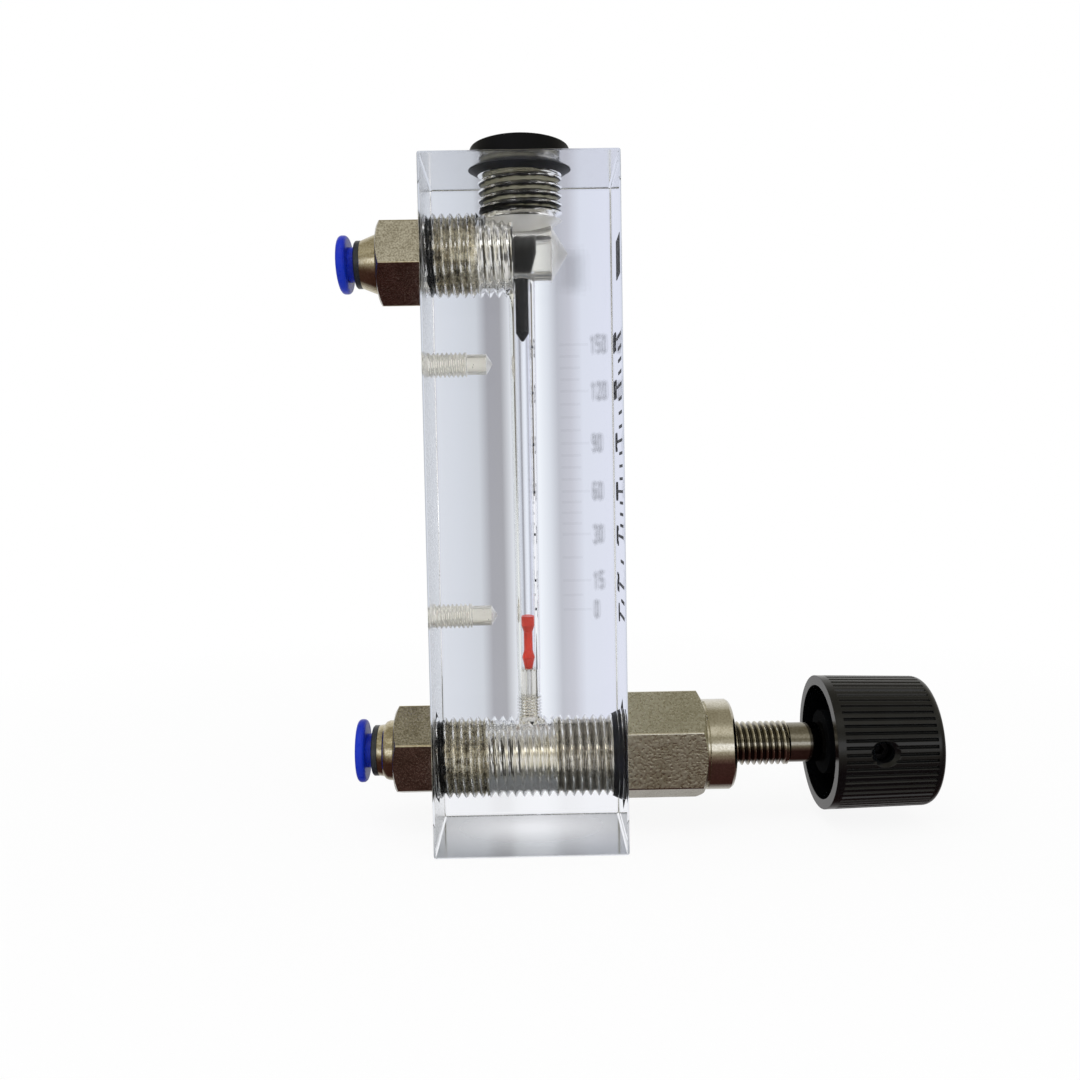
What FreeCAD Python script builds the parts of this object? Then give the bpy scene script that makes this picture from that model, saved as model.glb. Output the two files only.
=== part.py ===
"""Acrylic block rotameter with a needle valve and two push-in tube fittings.

A float rides in a tapered bore that is machined straight into a clear block.
Gas or water enters at the lower rear fitting, is throttled by the needle valve,
lifts the float and leaves at the upper rear fitting.

Frame: millimetres, +Z up, +X to the front (scale and valve knob), origin at the
centre of the block's flat bottom face.
"""
import FreeCAD, Part
import math
import os

Vector = FreeCAD.Vector

# Acrylic block
BLOCK_DEPTH = 30.0
BLOCK_WIDTH = 30.0
BLOCK_HEIGHT = 106.0
BLOCK_EDGE = 0.4

# Ports, all tapped G 1/4
INLET_Z = 13.0
OUTLET_FROM_TOP = 13.0
PORT_THREAD_D = 13.157
TOP_SINK_D = 16.0
TOP_SINK_DEPTH = 0.85
VALVE_SINK_D = 14.9
VALVE_SINK_DEPTH = 1.8
RING_BEARS_AT = 0.3
OUTLET_TAP_DEPTH = 13.7
OUTLET_DRILL_D = 8.8
OUTLET_DRILL_DEPTH = 19.75
TOP_TAP_DEPTH = 7.9
DRILL_POINT_ANGLE = 118.0
RING_EDGE = 0.15

# Rear mounting holes, M4
MOUNT_HOLE_OVER_INLET = 23.0
MOUNT_HOLE_UNDER_OUTLET = 17.0
MOUNT_THREAD_D = 4.0
MOUNT_TAP_DEPTH = 6.0
MOUNT_DRILL_D = 3.3
MOUNT_DRILL_DEPTH = 9.2

# Metering bore, float and float seat
BORE_BOTTOM_D = 3.7
BORE_TOP_D = 4.2
SEAT_D = 3.5
SEAT_SMOOTH_LENGTH = 4.35
SEAT_THREAD_D = 4.0
SEAT_THREAD_LENGTH = 3.3
SEAT_HOLE_D = 1.1
FLOAT_HEAD_D = 3.15
FLOAT_WAIST_D = 2.1
FLOAT_FOOT_D = 3.05
FLOAT_TAIL_D = 1.85
FLOAT_HEAD_LENGTH = 1.5
FLOAT_SLOPE_LENGTH = 1.05
FLOAT_WAIST_LENGTH = 3.0
FLOAT_TAIL_LENGTH = 1.9
STOP_TIP_UNDER_OUTLET = 13.37
FLOAT_STOP_GAP = 0.3

# Top plug with the float stop rod turned on its end
PLUG_HEAD_D = 16.2
PLUG_HEAD_HEIGHT = 4.95
PLUG_HEAD_EDGE = 0.4
PLUG_SEAL_WIDTH = 1.10495
PLUG_THREAD_END = 6.8
PLUG_SHANK_D = 4.8
PLUG_SHANK_LENGTH = 5.8
STOP_ROD_D = 3.1
STOP_POINT_LENGTH = 1.2
STOP_POINT_D = 0.6

# Hexagon bars
HEX_CHAMFER_SHARE = 0.97
HEX_CHAMFER_ANGLE = 30.0

# Rear push-in fittings for 4 mm tube
OUTLET_STAND_OFF = 0.7
OUTLET_HEX_AF = 13.2
OUTLET_HEX_TURN = -10.3
OUTLET_BARREL_D = 9.7
OUTLET_MOUTH_D = 7.6
INLET_STAND_OFF = 0.0
INLET_HEX_AF = 13.7
INLET_HEX_TURN = 19.2
INLET_BARREL_D = 9.9
INLET_MOUTH_D = 8.3
FIT_HEX_LENGTH = 7.2
FIT_THREAD_LENGTH = 8.6
FIT_BARREL_LENGTH = 3.0
FIT_CARTRIDGE_D = 6.6
FIT_FLOW_D = 2.8
TUBE_SOCKET_D = 4.1
TUBE_SOCKET_DEPTH = 4.4
GUIDE_FLANGE = 0.9
GUIDE_SPIGOT = 2.2
GUIDE_EDGE = 0.2
GRAB_RING_T = 0.4
GRAB_RING_TEETH = 8
GRAB_SLOT_WIDTH = 0.4
GRAB_SLOT_DEPTH = 0.8
TUBE_SEAL_WIDTH = 1.25
SLEEVE_NECK_D = 5.6
SLEEVE_BORE_D = 4.2
SLEEVE_RUNNING_CLEARANCE = 0.05
SLEEVE_FLANGE_LONG = 10.4
SLEEVE_FLANGE_SHORT = 9.2
SLEEVE_FLANGE_T = 1.5
SLEEVE_FLANGE_EDGE = 0.6
SLEEVE_GAP = 1.05
SLEEVE_TIP_GAP = 0.85

# Needle valve
VALVE_HEX_AF = 16.0
VALVE_HEX_LENGTH = 13.5
VALVE_HEX_TURN = 26.0
VALVE_GROOVE_D = 13.6
VALVE_GROOVE_WIDTH = 0.4
VALVE_COLLAR_D = 14.8
VALVE_COLLAR_LENGTH = 4.4
VALVE_COLLAR_EDGE = 0.6
VALVE_SEAL_WIDTH = 0.93995
VALVE_THREAD_END = 11.0
VALVE_NOSE_D = 10.6
VALVE_SEAT_CLEARANCE = 1.85
VALVE_CHAMBER_D = 6.0
VALVE_CHAMBER_UNDER_FACE = 7.45
VALVE_CROSS_D = 2.5
VALVE_CROSS_FROM_NOSE = 2.65
SEAL_BORE_D = 5.1
STEM_RUNNING_CLEARANCE = 0.05
STEM_THREAD_D = 7.2
STEM_THREAD_ROOT_D = 6.0
STEM_PITCH = 1.0
STEM_CREST_START = 0.45
STEM_CREST_END = 0.55
STEM_THREAD_TURNS = 16
STEM_SHANK_D = 6.5
STEM_THREAD_OUT = 9.6
STEM_BORE_DEPTH = 12.7
NEEDLE_D = 3.0
NEEDLE_TIP_D = 0.6
NEEDLE_CONE_LENGTH = 4.0
NEEDLE_PARALLEL = 2.6
VALVE_CLOSING_TRAVEL = 5.5
NEEDLE_CLOSED_GAP = 0.1
STEM_GROOVE_WIDTH = 1.6
STEM_GROOVE_D = 3.0
STEM_GROOVE_INSET = 8.1
STEM_RING_GAP = 0.02
SEAT_DISC_D = 10.4
SEAT_DISC_T = 1.9
SEAT_STUB_LENGTH = 1.5
SEAT_ORIFICE_D = 1.8

# Knob and its grub screw
KNOB_START = 33.25
KNOB_LENGTH = 17.5
KNOB_RIM_D = 22.0
KNOB_FACE_D = 21.2
KNOB_FACE_EDGE = 1.5
KNOB_RECESS_D = 18.8
KNOB_RECESS_DEPTH = 4.5
KNOB_BOSS_D = 10.4
KNOB_BOSS_INSET = 0.4
KNOB_RIBS = 60
KNOB_RIB_DEPTH = 0.35
KNOB_RIB_GROOVE = 0.55
KNOB_RIB_MARGIN = 1.3
KNOB_GROOVE_OVERCUT = 0.6
STEM_IN_KNOB = 13.5
GRUB_D = 3.0
GRUB_HOLE_D = 3.1
GRUB_LENGTH = 4.0
GRUB_SOCKET_AF = 1.5
GRUB_SOCKET_DEPTH = 1.6
GRUB_FROM_RIM = 7.6
GRUB_TILT = 4.0
GRUB_SINK_D = 4.4
GRUB_CUT_PAST_RIM = 1.0

# Printed scale on the front face
PRINT_T = 0.05
PRINT_MARGIN = 3.5
MAJOR_TICK = 13.5
MINOR_TICK = 9.5
TICK_LINE = 0.45
DIGIT_GAP = 1.5
DIGIT_HEIGHT = 3.1
DIGIT_WIDTH = 1.9
DIGIT_STROKE = 0.5
DIGIT_PITCH = 2.6
HEADER_BAR_UNDER_OUTLET = 4.25
HEADER_BAR_HEIGHT = 5.95
HEADER_BAR_WIDTH = 9.3
HEADER_BAR_INSET = 2.0
SCALE_OVER_TRAVEL = 0.4
SCALE_NUMBERS = ("0", "15", "30", "60", "90", "120", "150")
SCALE_SHARES = (0.0, 0.111, 0.2875, 0.45, 0.631, 0.827, 1.0)
SCALE_DIVISIONS = (2, 2, 4, 4, 4, 4)

# Values that follow from the ones above
BACK_X = -BLOCK_DEPTH / 2
FRONT_X = BLOCK_DEPTH / 2
OUTLET_Z = BLOCK_HEIGHT - OUTLET_FROM_TOP
PORT_R = PORT_THREAD_D / 2
PLUG_NECK_D = PORT_THREAD_D + RING_BEARS_AT * (TOP_SINK_D - PORT_THREAD_D) - 2 * PLUG_SEAL_WIDTH
VALVE_NECK_D = PORT_THREAD_D + RING_BEARS_AT * (VALVE_SINK_D - PORT_THREAD_D) - 2 * VALVE_SEAL_WIDTH
SEAT_BOTTOM_Z = INLET_Z + PORT_R
SEAT_TOP_Z = SEAT_BOTTOM_Z + SEAT_THREAD_LENGTH + SEAT_SMOOTH_LENGTH
FLOAT_LENGTH = FLOAT_HEAD_LENGTH + 2 * FLOAT_SLOPE_LENGTH + FLOAT_WAIST_LENGTH + FLOAT_TAIL_LENGTH
FLOAT_TOP_Z = SEAT_TOP_Z + FLOAT_LENGTH
STOP_TIP_Z = OUTLET_Z - STOP_TIP_UNDER_OUTLET
SCALE_LENGTH = STOP_TIP_Z - FLOAT_STOP_GAP - FLOAT_TOP_Z + SCALE_OVER_TRAVEL
TICK_LEFT_Y = PRINT_MARGIN - BLOCK_WIDTH / 2
CARTRIDGE_DEPTH = GUIDE_SPIGOT + GRAB_RING_T + TUBE_SEAL_WIDTH
VALVE_COLLAR_X = FRONT_X + VALVE_HEX_LENGTH + VALVE_GROOVE_WIDTH
VALVE_END_X = VALVE_COLLAR_X + VALVE_COLLAR_LENGTH
VALVE_THREAD_X = FRONT_X - VALVE_THREAD_END
INLET_END_X = BACK_X - INLET_STAND_OFF + FIT_THREAD_LENGTH
VALVE_NOSE_X = INLET_END_X + VALVE_SEAT_CLEARANCE + SEAT_DISC_T
VALVE_CROSS_X = VALVE_NOSE_X + VALVE_CROSS_FROM_NOSE
VALVE_CHAMBER_X = FRONT_X - VALVE_CHAMBER_UNDER_FACE
STEM_BORE_X = VALVE_END_X - STEM_BORE_DEPTH
STEM_THREAD_END_X = VALVE_END_X + STEM_THREAD_OUT
STEM_THREAD_START_X = STEM_THREAD_END_X - STEM_THREAD_TURNS * STEM_PITCH
STEM_SEAL_D = SEAL_BORE_D - 2 * STEM_RUNNING_CLEARANCE
ORIFICE_X = VALVE_NOSE_X + SEAT_STUB_LENGTH
CONE_RATIO = (SEAT_ORIFICE_D - NEEDLE_TIP_D) / (NEEDLE_D - NEEDLE_TIP_D)
NEEDLE_TIP_X = ORIFICE_X - NEEDLE_CONE_LENGTH * CONE_RATIO + NEEDLE_CLOSED_GAP + VALVE_CLOSING_TRAVEL
STEM_GROOVE_X = STEM_THREAD_START_X - STEM_GROOVE_INSET
KNOB_X = FRONT_X + KNOB_START
KNOB_END_X = KNOB_X + KNOB_LENGTH
STEM_END_X = KNOB_X + STEM_IN_KNOB

AXIS_X = Vector(1, 0, 0)
AXIS_Z = Vector(0, 0, 1)


def turned(profile, axis, height=0.0):
    """Solid turned about X or Z from (distance along the axis, radius) points."""
    if axis == AXIS_X:
        points = [Vector(along, 0, radius) for along, radius in profile]
    else:
        points = [Vector(radius, 0, along) for along, radius in profile]
    face = Part.Face(Part.makePolygon(points + [points[0]]))
    solid = face.revolve(Vector(0, 0, 0), axis, 360)
    solid.translate(Vector(0, 0, height))
    return Part.makeSolid(solid) if solid.ShapeType == "Shell" else solid


def rod(start, end, diameter, axis=AXIS_X, height=0.0):
    """Plain cylinder between two stations on the axis."""
    radius = diameter / 2
    return turned([(start, 0), (start, radius), (end, radius), (end, 0)], axis, height)


def ring(start, end, inner, outer, axis=AXIS_X, height=0.0):
    """Plain ring between two stations on the axis."""
    return turned([(start, inner / 2), (start, outer / 2), (end, outer / 2), (end, inner / 2)], axis, height)


def hexagon(start, end, across_flats, turn, height, chamfer_at):
    """Hexagonal bar along X with its corners turned down at one end."""
    radius = across_flats / math.sqrt(3)
    corners = []
    for index in range(7):
        angle = math.radians(turn + 60 * index)
        corners.append(Vector(start, -radius * math.cos(angle), radius * math.sin(angle)))
    bar = Part.Face(Part.makePolygon(corners)).extrude(Vector(end - start, 0, 0))
    bar.translate(Vector(0, 0, height))
    low = across_flats / 2 * HEX_CHAMFER_SHARE
    drop = (radius - low) * math.tan(math.radians(HEX_CHAMFER_ANGLE))
    if chamfer_at == "start":
        profile = [(start, 0), (start, low), (start + drop, radius), (end, radius), (end, 0)]
    else:
        profile = [(start, 0), (start, radius), (end - drop, radius), (end, low), (end, 0)]
    return bar.common(turned(profile, AXIS_X, height))


def drill_tip(station, diameter, sign):
    """Station of the point that a drill of this diameter leaves beyond its full bore."""
    return station + sign * diameter / 2 / math.tan(math.radians(DRILL_POINT_ANGLE / 2))


def outlet_bore():
    """Upper rear port: tapped mouth, smaller drilled end and drill point."""
    tap_x = BACK_X + OUTLET_TAP_DEPTH
    end_x = BACK_X + OUTLET_DRILL_DEPTH
    tip_x = drill_tip(end_x, OUTLET_DRILL_D, 1)
    drill_r = OUTLET_DRILL_D / 2
    profile = [(BACK_X, 0), (BACK_X, PORT_R), (tap_x, PORT_R), (tap_x, drill_r), (end_x, drill_r), (tip_x, 0)]
    return turned(profile, AXIS_X, OUTLET_Z)


def valve_bore():
    """Lower cross bore: tapped right through, countersunk at the front."""
    sink_x = FRONT_X - VALVE_SINK_DEPTH
    profile = [(BACK_X, 0), (BACK_X, PORT_R), (sink_x, PORT_R), (FRONT_X, VALVE_SINK_D / 2), (FRONT_X, 0)]
    return turned(profile, AXIS_X, INLET_Z)


def top_bore():
    """Top port, countersunk, reaching down into the upper rear port."""
    tap_z = BLOCK_HEIGHT - TOP_TAP_DEPTH
    sink_z = BLOCK_HEIGHT - TOP_SINK_DEPTH
    tip_z = drill_tip(tap_z, PORT_THREAD_D, -1)
    profile = [
        (BLOCK_HEIGHT, 0), (BLOCK_HEIGHT, TOP_SINK_D / 2), (sink_z, PORT_R),
        (tap_z, PORT_R), (tip_z, 0),
    ]
    return turned(profile, AXIS_Z)


def metering_bore():
    """Tapered bore for the float and the stepped pocket for its seat."""
    step_z = SEAT_BOTTOM_Z + SEAT_THREAD_LENGTH
    profile = [
        (INLET_Z, 0), (INLET_Z, SEAT_THREAD_D / 2), (step_z, SEAT_THREAD_D / 2), (step_z, SEAT_D / 2),
        (SEAT_TOP_Z, SEAT_D / 2), (SEAT_TOP_Z, BORE_BOTTOM_D / 2), (OUTLET_Z, BORE_TOP_D / 2), (OUTLET_Z, 0),
    ]
    return turned(profile, AXIS_Z)


def mounting_hole(z):
    """Blind M4 hole in the back face."""
    tap_x = BACK_X + MOUNT_TAP_DEPTH
    end_x = BACK_X + MOUNT_DRILL_DEPTH
    tip_x = drill_tip(end_x, MOUNT_DRILL_D, 1)
    profile = [
        (BACK_X, 0), (BACK_X, MOUNT_THREAD_D / 2), (tap_x, MOUNT_THREAD_D / 2),
        (tap_x, MOUNT_DRILL_D / 2), (end_x, MOUNT_DRILL_D / 2), (tip_x, 0),
    ]
    return turned(profile, AXIS_X, z)


def acrylic_block():
    """Clear block with all of its bores."""
    corner = Vector(BACK_X, -BLOCK_WIDTH / 2, 0)
    block = Part.makeBox(BLOCK_DEPTH, BLOCK_WIDTH, BLOCK_HEIGHT, corner)
    block = block.makeChamfer(BLOCK_EDGE, block.Edges)
    holes = [outlet_bore(), valve_bore(), top_bore(), metering_bore()]
    holes.append(mounting_hole(INLET_Z + MOUNT_HOLE_OVER_INLET))
    holes.append(mounting_hole(OUTLET_Z - MOUNT_HOLE_UNDER_OUTLET))
    return block.cut(holes)


def scale_station(index):
    """Height on the front face of a numbered mark."""
    return FLOAT_TOP_Z + SCALE_SHARES[index] * SCALE_LENGTH


def tick(z, length):
    """One printed tick mark."""
    return Part.makeBox(PRINT_T, length, TICK_LINE, Vector(FRONT_X, TICK_LEFT_Y, z - TICK_LINE / 2))


def scale_ticks():
    """Long ticks at the numbers and short ticks between them."""
    ticks = [tick(scale_station(0), MAJOR_TICK)]
    for index, divisions in enumerate(SCALE_DIVISIONS):
        low = scale_station(index)
        step = (scale_station(index + 1) - low) / divisions
        for count in range(1, divisions):
            ticks.append(tick(low + count * step, MINOR_TICK))
        ticks.append(tick(scale_station(index + 1), MAJOR_TICK))
    return Part.makeCompound(ticks)


def line_stroke(start, end):
    """Flat pen stroke between two points of a digit, in the plane of the print."""
    half = DIGIT_STROKE / 2
    along = math.atan2(end[1] - start[1], end[0] - start[0])
    side = Vector(0, -math.sin(along) * half, math.cos(along) * half)
    first = Vector(0, start[0], start[1])
    last = Vector(0, end[0], end[1])
    corners = [first + side, last + side, last - side, first - side, first + side]
    return Part.Face(Part.makePolygon(corners)).extrude(Vector(PRINT_T, 0, 0))


def arc_stroke(centre, radius, start_deg, end_deg):
    """Flat pen stroke along an arc of a digit, in the plane of the print."""
    def at(distance, degrees):
        angle = math.radians(degrees)
        return Vector(0, centre[0] + distance * math.cos(angle), centre[1] + distance * math.sin(angle))
    outer = radius + DIGIT_STROKE / 2
    inner = radius - DIGIT_STROKE / 2
    middle = (start_deg + end_deg) / 2
    edges = [
        Part.Arc(at(outer, start_deg), at(outer, middle), at(outer, end_deg)).toShape(),
        Part.LineSegment(at(outer, end_deg), at(inner, end_deg)).toShape(),
        Part.Arc(at(inner, end_deg), at(inner, middle), at(inner, start_deg)).toShape(),
        Part.LineSegment(at(inner, start_deg), at(outer, start_deg)).toShape(),
    ]
    return Part.Face(Part.Wire(edges)).extrude(Vector(PRINT_T, 0, 0))


def digit_strokes(symbol):
    """Strokes of one digit, from the lower left corner of its centre line."""
    radius = (DIGIT_WIDTH - DIGIT_STROKE) / 2
    top = DIGIT_HEIGHT - DIGIT_STROKE
    right = 2 * radius
    low = (radius, radius)
    high = (radius, top - radius)
    sides = [line_stroke((0, radius), (0, top - radius)), line_stroke((right, radius), (right, top - radius))]
    if symbol == "0":
        return sides + [arc_stroke(high, radius, 0, 180), arc_stroke(low, radius, 180, 360)]
    if symbol == "1":
        upright = line_stroke((radius, -DIGIT_STROKE / 2), (radius, top))
        return [upright, line_stroke((0, high[1]), (radius, top))]
    if symbol == "2":
        foot = line_stroke((-DIGIT_STROKE / 2, 0), (right + DIGIT_STROKE / 2, 0))
        return [arc_stroke(high, radius, -20, 180), line_stroke((right * 0.96, high[1] * 0.9), (0, 0)), foot]
    if symbol == "3":
        upper = arc_stroke((radius, top - radius), radius, -90, 160)
        lower = arc_stroke((radius, top - 3 * radius), radius, -160, 90)
        return [upper, lower]
    if symbol == "5":
        bar = line_stroke((-DIGIT_STROKE / 2, top), (right, top))
        stem = line_stroke((0, top), (0, 1.6 * radius))
        return [bar, stem, arc_stroke(low, radius, -150, 150)]
    if symbol == "6":
        bowl = [arc_stroke(low, radius, 0, 180), arc_stroke(low, radius, 180, 360)]
        return [sides[0], arc_stroke(high, radius, 40, 180)] + bowl
    bowl = [arc_stroke(high, radius, 0, 180), arc_stroke(high, radius, 180, 360)]
    return [sides[1], arc_stroke(low, radius, 220, 360)] + bowl


def printed_digit(symbol, left, bottom):
    """One digit as a single thin solid on the front face."""
    strokes = digit_strokes(symbol)
    digit = strokes[0].fuse(strokes[1:]).removeSplitter()
    digit.translate(Vector(FRONT_X, left + DIGIT_STROKE / 2, bottom + DIGIT_STROKE / 2))
    return digit


def scale_numerals():
    """Numbers beside the long ticks, read from the front."""
    digits = []
    left = TICK_LEFT_Y + MAJOR_TICK + DIGIT_GAP
    for index, text in enumerate(SCALE_NUMBERS):
        bottom = scale_station(index) - DIGIT_HEIGHT / 2
        for place, symbol in enumerate(text):
            digits.append(printed_digit(symbol, left + place * DIGIT_PITCH, bottom))
    return Part.makeCompound([solid for digit in digits for solid in digit.Solids])


def scale_header_bar():
    """Plain printed bar above the scale."""
    corner = Vector(FRONT_X, TICK_LEFT_Y + HEADER_BAR_INSET, OUTLET_Z - HEADER_BAR_UNDER_OUTLET)
    return Part.makeBox(PRINT_T, HEADER_BAR_WIDTH, HEADER_BAR_HEIGHT, corner)


def top_plug():
    """Screw plug with a plain round head and the float stop rod below it."""
    head_r = PLUG_HEAD_D / 2
    top_z = BLOCK_HEIGHT + PLUG_HEAD_HEIGHT
    neck_z = BLOCK_HEIGHT - TOP_SINK_DEPTH
    thread_z = BLOCK_HEIGHT - PLUG_THREAD_END
    shank_z = thread_z - PLUG_SHANK_LENGTH
    mouth_z = OUTLET_Z - OUTLET_DRILL_D / 2
    profile = [
        (top_z, 0), (top_z, head_r - PLUG_HEAD_EDGE), (top_z - PLUG_HEAD_EDGE, head_r),
        (BLOCK_HEIGHT, head_r), (BLOCK_HEIGHT, PLUG_NECK_D / 2), (neck_z, PLUG_NECK_D / 2),
        (neck_z, PORT_R), (thread_z, PORT_R),
        (thread_z, PLUG_SHANK_D / 2), (shank_z, PLUG_SHANK_D / 2), (mouth_z, STOP_ROD_D / 2),
        (STOP_TIP_Z + STOP_POINT_LENGTH, STOP_ROD_D / 2), (STOP_TIP_Z, STOP_POINT_D / 2), (STOP_TIP_Z, 0),
    ]
    return turned(profile, AXIS_Z)


def squeezed_ring(face, bottom, mouth_d, neck_d, axis, height):
    """O-ring squeezed into a countersink, round a neck and against a flat shoulder."""
    neck_r = neck_d / 2
    rim_r = mouth_d / 2 - RING_EDGE
    rim = face + (bottom - face) * RING_EDGE / abs(mouth_d / 2 - PORT_R)
    profile = [(face, neck_r), (face, rim_r), (rim, rim_r), (bottom, PORT_R), (bottom, neck_r)]
    return turned(profile, axis, height)


def top_plug_o_ring():
    """O-ring under the head of the top plug."""
    return squeezed_ring(BLOCK_HEIGHT, BLOCK_HEIGHT - TOP_SINK_DEPTH, TOP_SINK_D, PLUG_NECK_D, AXIS_Z, 0.0)


def metering_float():
    """Dumbbell float at rest on its seat."""
    tail_z = SEAT_TOP_Z + FLOAT_TAIL_LENGTH
    waist_z = tail_z + FLOAT_SLOPE_LENGTH
    slope_z = waist_z + FLOAT_WAIST_LENGTH
    head_z = slope_z + FLOAT_SLOPE_LENGTH
    head_r = FLOAT_HEAD_D / 2
    waist_r = FLOAT_WAIST_D / 2
    profile = [
        (SEAT_TOP_Z, 0), (SEAT_TOP_Z, FLOAT_TAIL_D / 2), (tail_z, FLOAT_FOOT_D / 2), (waist_z, waist_r),
        (slope_z, waist_r), (head_z, head_r), (FLOAT_TOP_Z, head_r), (FLOAT_TOP_Z, 0),
    ]
    return turned(profile, AXIS_Z)


def float_seat():
    """Clear screwed insert that carries the float and lets the flow in below it."""
    step_z = SEAT_BOTTOM_Z + SEAT_THREAD_LENGTH
    hole_r = SEAT_HOLE_D / 2
    profile = [
        (SEAT_BOTTOM_Z, hole_r), (SEAT_BOTTOM_Z, SEAT_THREAD_D / 2), (step_z, SEAT_THREAD_D / 2),
        (step_z, SEAT_D / 2), (SEAT_TOP_Z, SEAT_D / 2), (SEAT_TOP_Z, hole_r),
    ]
    return turned(profile, AXIS_Z)


class RearFitting:
    """Push-in fitting with its sealing and gripping pieces, on one rear port."""

    def __init__(self, axis_z, stand_off, hex_af, hex_turn, barrel_d, mouth_d, flange_upright):
        self.axis_z = axis_z
        self.hex_x = BACK_X - stand_off
        self.hex_af = hex_af
        self.hex_turn = hex_turn
        self.barrel_d = barrel_d
        self.mouth_d = mouth_d
        self.flange_upright = flange_upright
        self.shoulder_x = self.hex_x - FIT_HEX_LENGTH
        self.mouth_x = self.shoulder_x - FIT_BARREL_LENGTH
        self.end_x = self.hex_x + FIT_THREAD_LENGTH

    def body(self):
        """Hexagon, tapered barrel and male thread, bored right through."""
        bar = hexagon(self.shoulder_x, self.hex_x, self.hex_af, self.hex_turn, self.axis_z, "start")
        outside = turned([
            (self.mouth_x, 0), (self.mouth_x, self.mouth_d / 2), (self.shoulder_x, self.barrel_d / 2),
            (self.hex_x, self.barrel_d / 2), (self.hex_x, PORT_R), (self.end_x, PORT_R), (self.end_x, 0),
        ], AXIS_X, self.axis_z)
        cartridge_x = self.mouth_x + CARTRIDGE_DEPTH
        socket_x = cartridge_x + TUBE_SOCKET_DEPTH
        inside = turned([
            (self.mouth_x, 0), (self.mouth_x, FIT_CARTRIDGE_D / 2), (cartridge_x, FIT_CARTRIDGE_D / 2),
            (cartridge_x, TUBE_SOCKET_D / 2), (socket_x, TUBE_SOCKET_D / 2), (socket_x, FIT_FLOW_D / 2),
            (self.end_x, FIT_FLOW_D / 2), (self.end_x, 0),
        ], AXIS_X, self.axis_z)
        return bar.fuse(outside).cut(inside).removeSplitter()

    def collet_guide(self):
        """Black guide ring pressed into the barrel's mouth."""
        bore_r = SLEEVE_NECK_D / 2 + SLEEVE_RUNNING_CLEARANCE
        rim_r = self.mouth_d / 2
        outer_x = self.mouth_x - GUIDE_FLANGE
        inner_x = self.mouth_x + GUIDE_SPIGOT
        return turned([
            (outer_x, bore_r), (outer_x, rim_r - GUIDE_EDGE), (outer_x + GUIDE_EDGE, rim_r),
            (self.mouth_x, rim_r), (self.mouth_x, FIT_CARTRIDGE_D / 2),
            (inner_x, FIT_CARTRIDGE_D / 2), (inner_x, bore_r),
        ], AXIS_X, self.axis_z)

    def grab_ring(self):
        """Toothed spring washer that bites the tube."""
        start = self.mouth_x + GUIDE_SPIGOT
        washer = ring(start, start + GRAB_RING_T, TUBE_SOCKET_D, FIT_CARTRIDGE_D, AXIS_X, self.axis_z)
        slots = []
        for index in range(GRAB_RING_TEETH):
            corner = Vector(start, -GRAB_SLOT_WIDTH / 2, 0)
            slot = Part.makeBox(GRAB_RING_T, GRAB_SLOT_WIDTH, TUBE_SOCKET_D / 2 + GRAB_SLOT_DEPTH, corner)
            slot.rotate(Vector(0, 0, 0), AXIS_X, 360 * index / GRAB_RING_TEETH)
            slot.translate(Vector(0, 0, self.axis_z))
            slots.append(slot)
        return washer.cut(slots)

    def tube_seal(self):
        """O-ring that seals on the tube, drawn as it sits around one."""
        start = self.mouth_x + GUIDE_SPIGOT + GRAB_RING_T
        edge = TUBE_SEAL_WIDTH / 4
        inner = TUBE_SOCKET_D / 2
        outer = FIT_CARTRIDGE_D / 2
        end = start + TUBE_SEAL_WIDTH
        return turned([
            (start, inner + edge), (start, outer - edge), (start + edge, outer), (end - edge, outer),
            (end, outer - edge), (end, inner + edge), (end - edge, inner), (start + edge, inner),
        ], AXIS_X, self.axis_z)

    def release_sleeve(self):
        """Oval-flanged sleeve that is pressed in to let the tube go."""
        inner_x = self.mouth_x - GUIDE_FLANGE - SLEEVE_GAP
        outer_x = inner_x - SLEEVE_FLANGE_T
        tip_x = self.mouth_x + GUIDE_SPIGOT - SLEEVE_TIP_GAP
        long_r = SLEEVE_FLANGE_LONG / 2
        short_r = SLEEVE_FLANGE_SHORT / 2
        oval = Part.Ellipse(Vector(0, 0, 0), long_r, short_r).toShape()
        flange = Part.Face(Part.Wire(oval)).extrude(Vector(0, 0, SLEEVE_FLANGE_T))
        flange = flange.makeFillet(SLEEVE_FLANGE_EDGE, [edge for edge in flange.Edges if edge.Closed])
        flange.rotate(Vector(0, 0, 0), Vector(0, 1, 0), 90)
        if not self.flange_upright:
            flange.rotate(Vector(0, 0, 0), AXIS_X, 90)
        flange.translate(Vector(outer_x, 0, self.axis_z))
        neck = rod(inner_x - SLEEVE_FLANGE_T / 2, tip_x, SLEEVE_NECK_D, AXIS_X, self.axis_z)
        bore = rod(outer_x, tip_x, SLEEVE_BORE_D, AXIS_X, self.axis_z)
        return flange.fuse(neck).cut(bore).removeSplitter()


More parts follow.
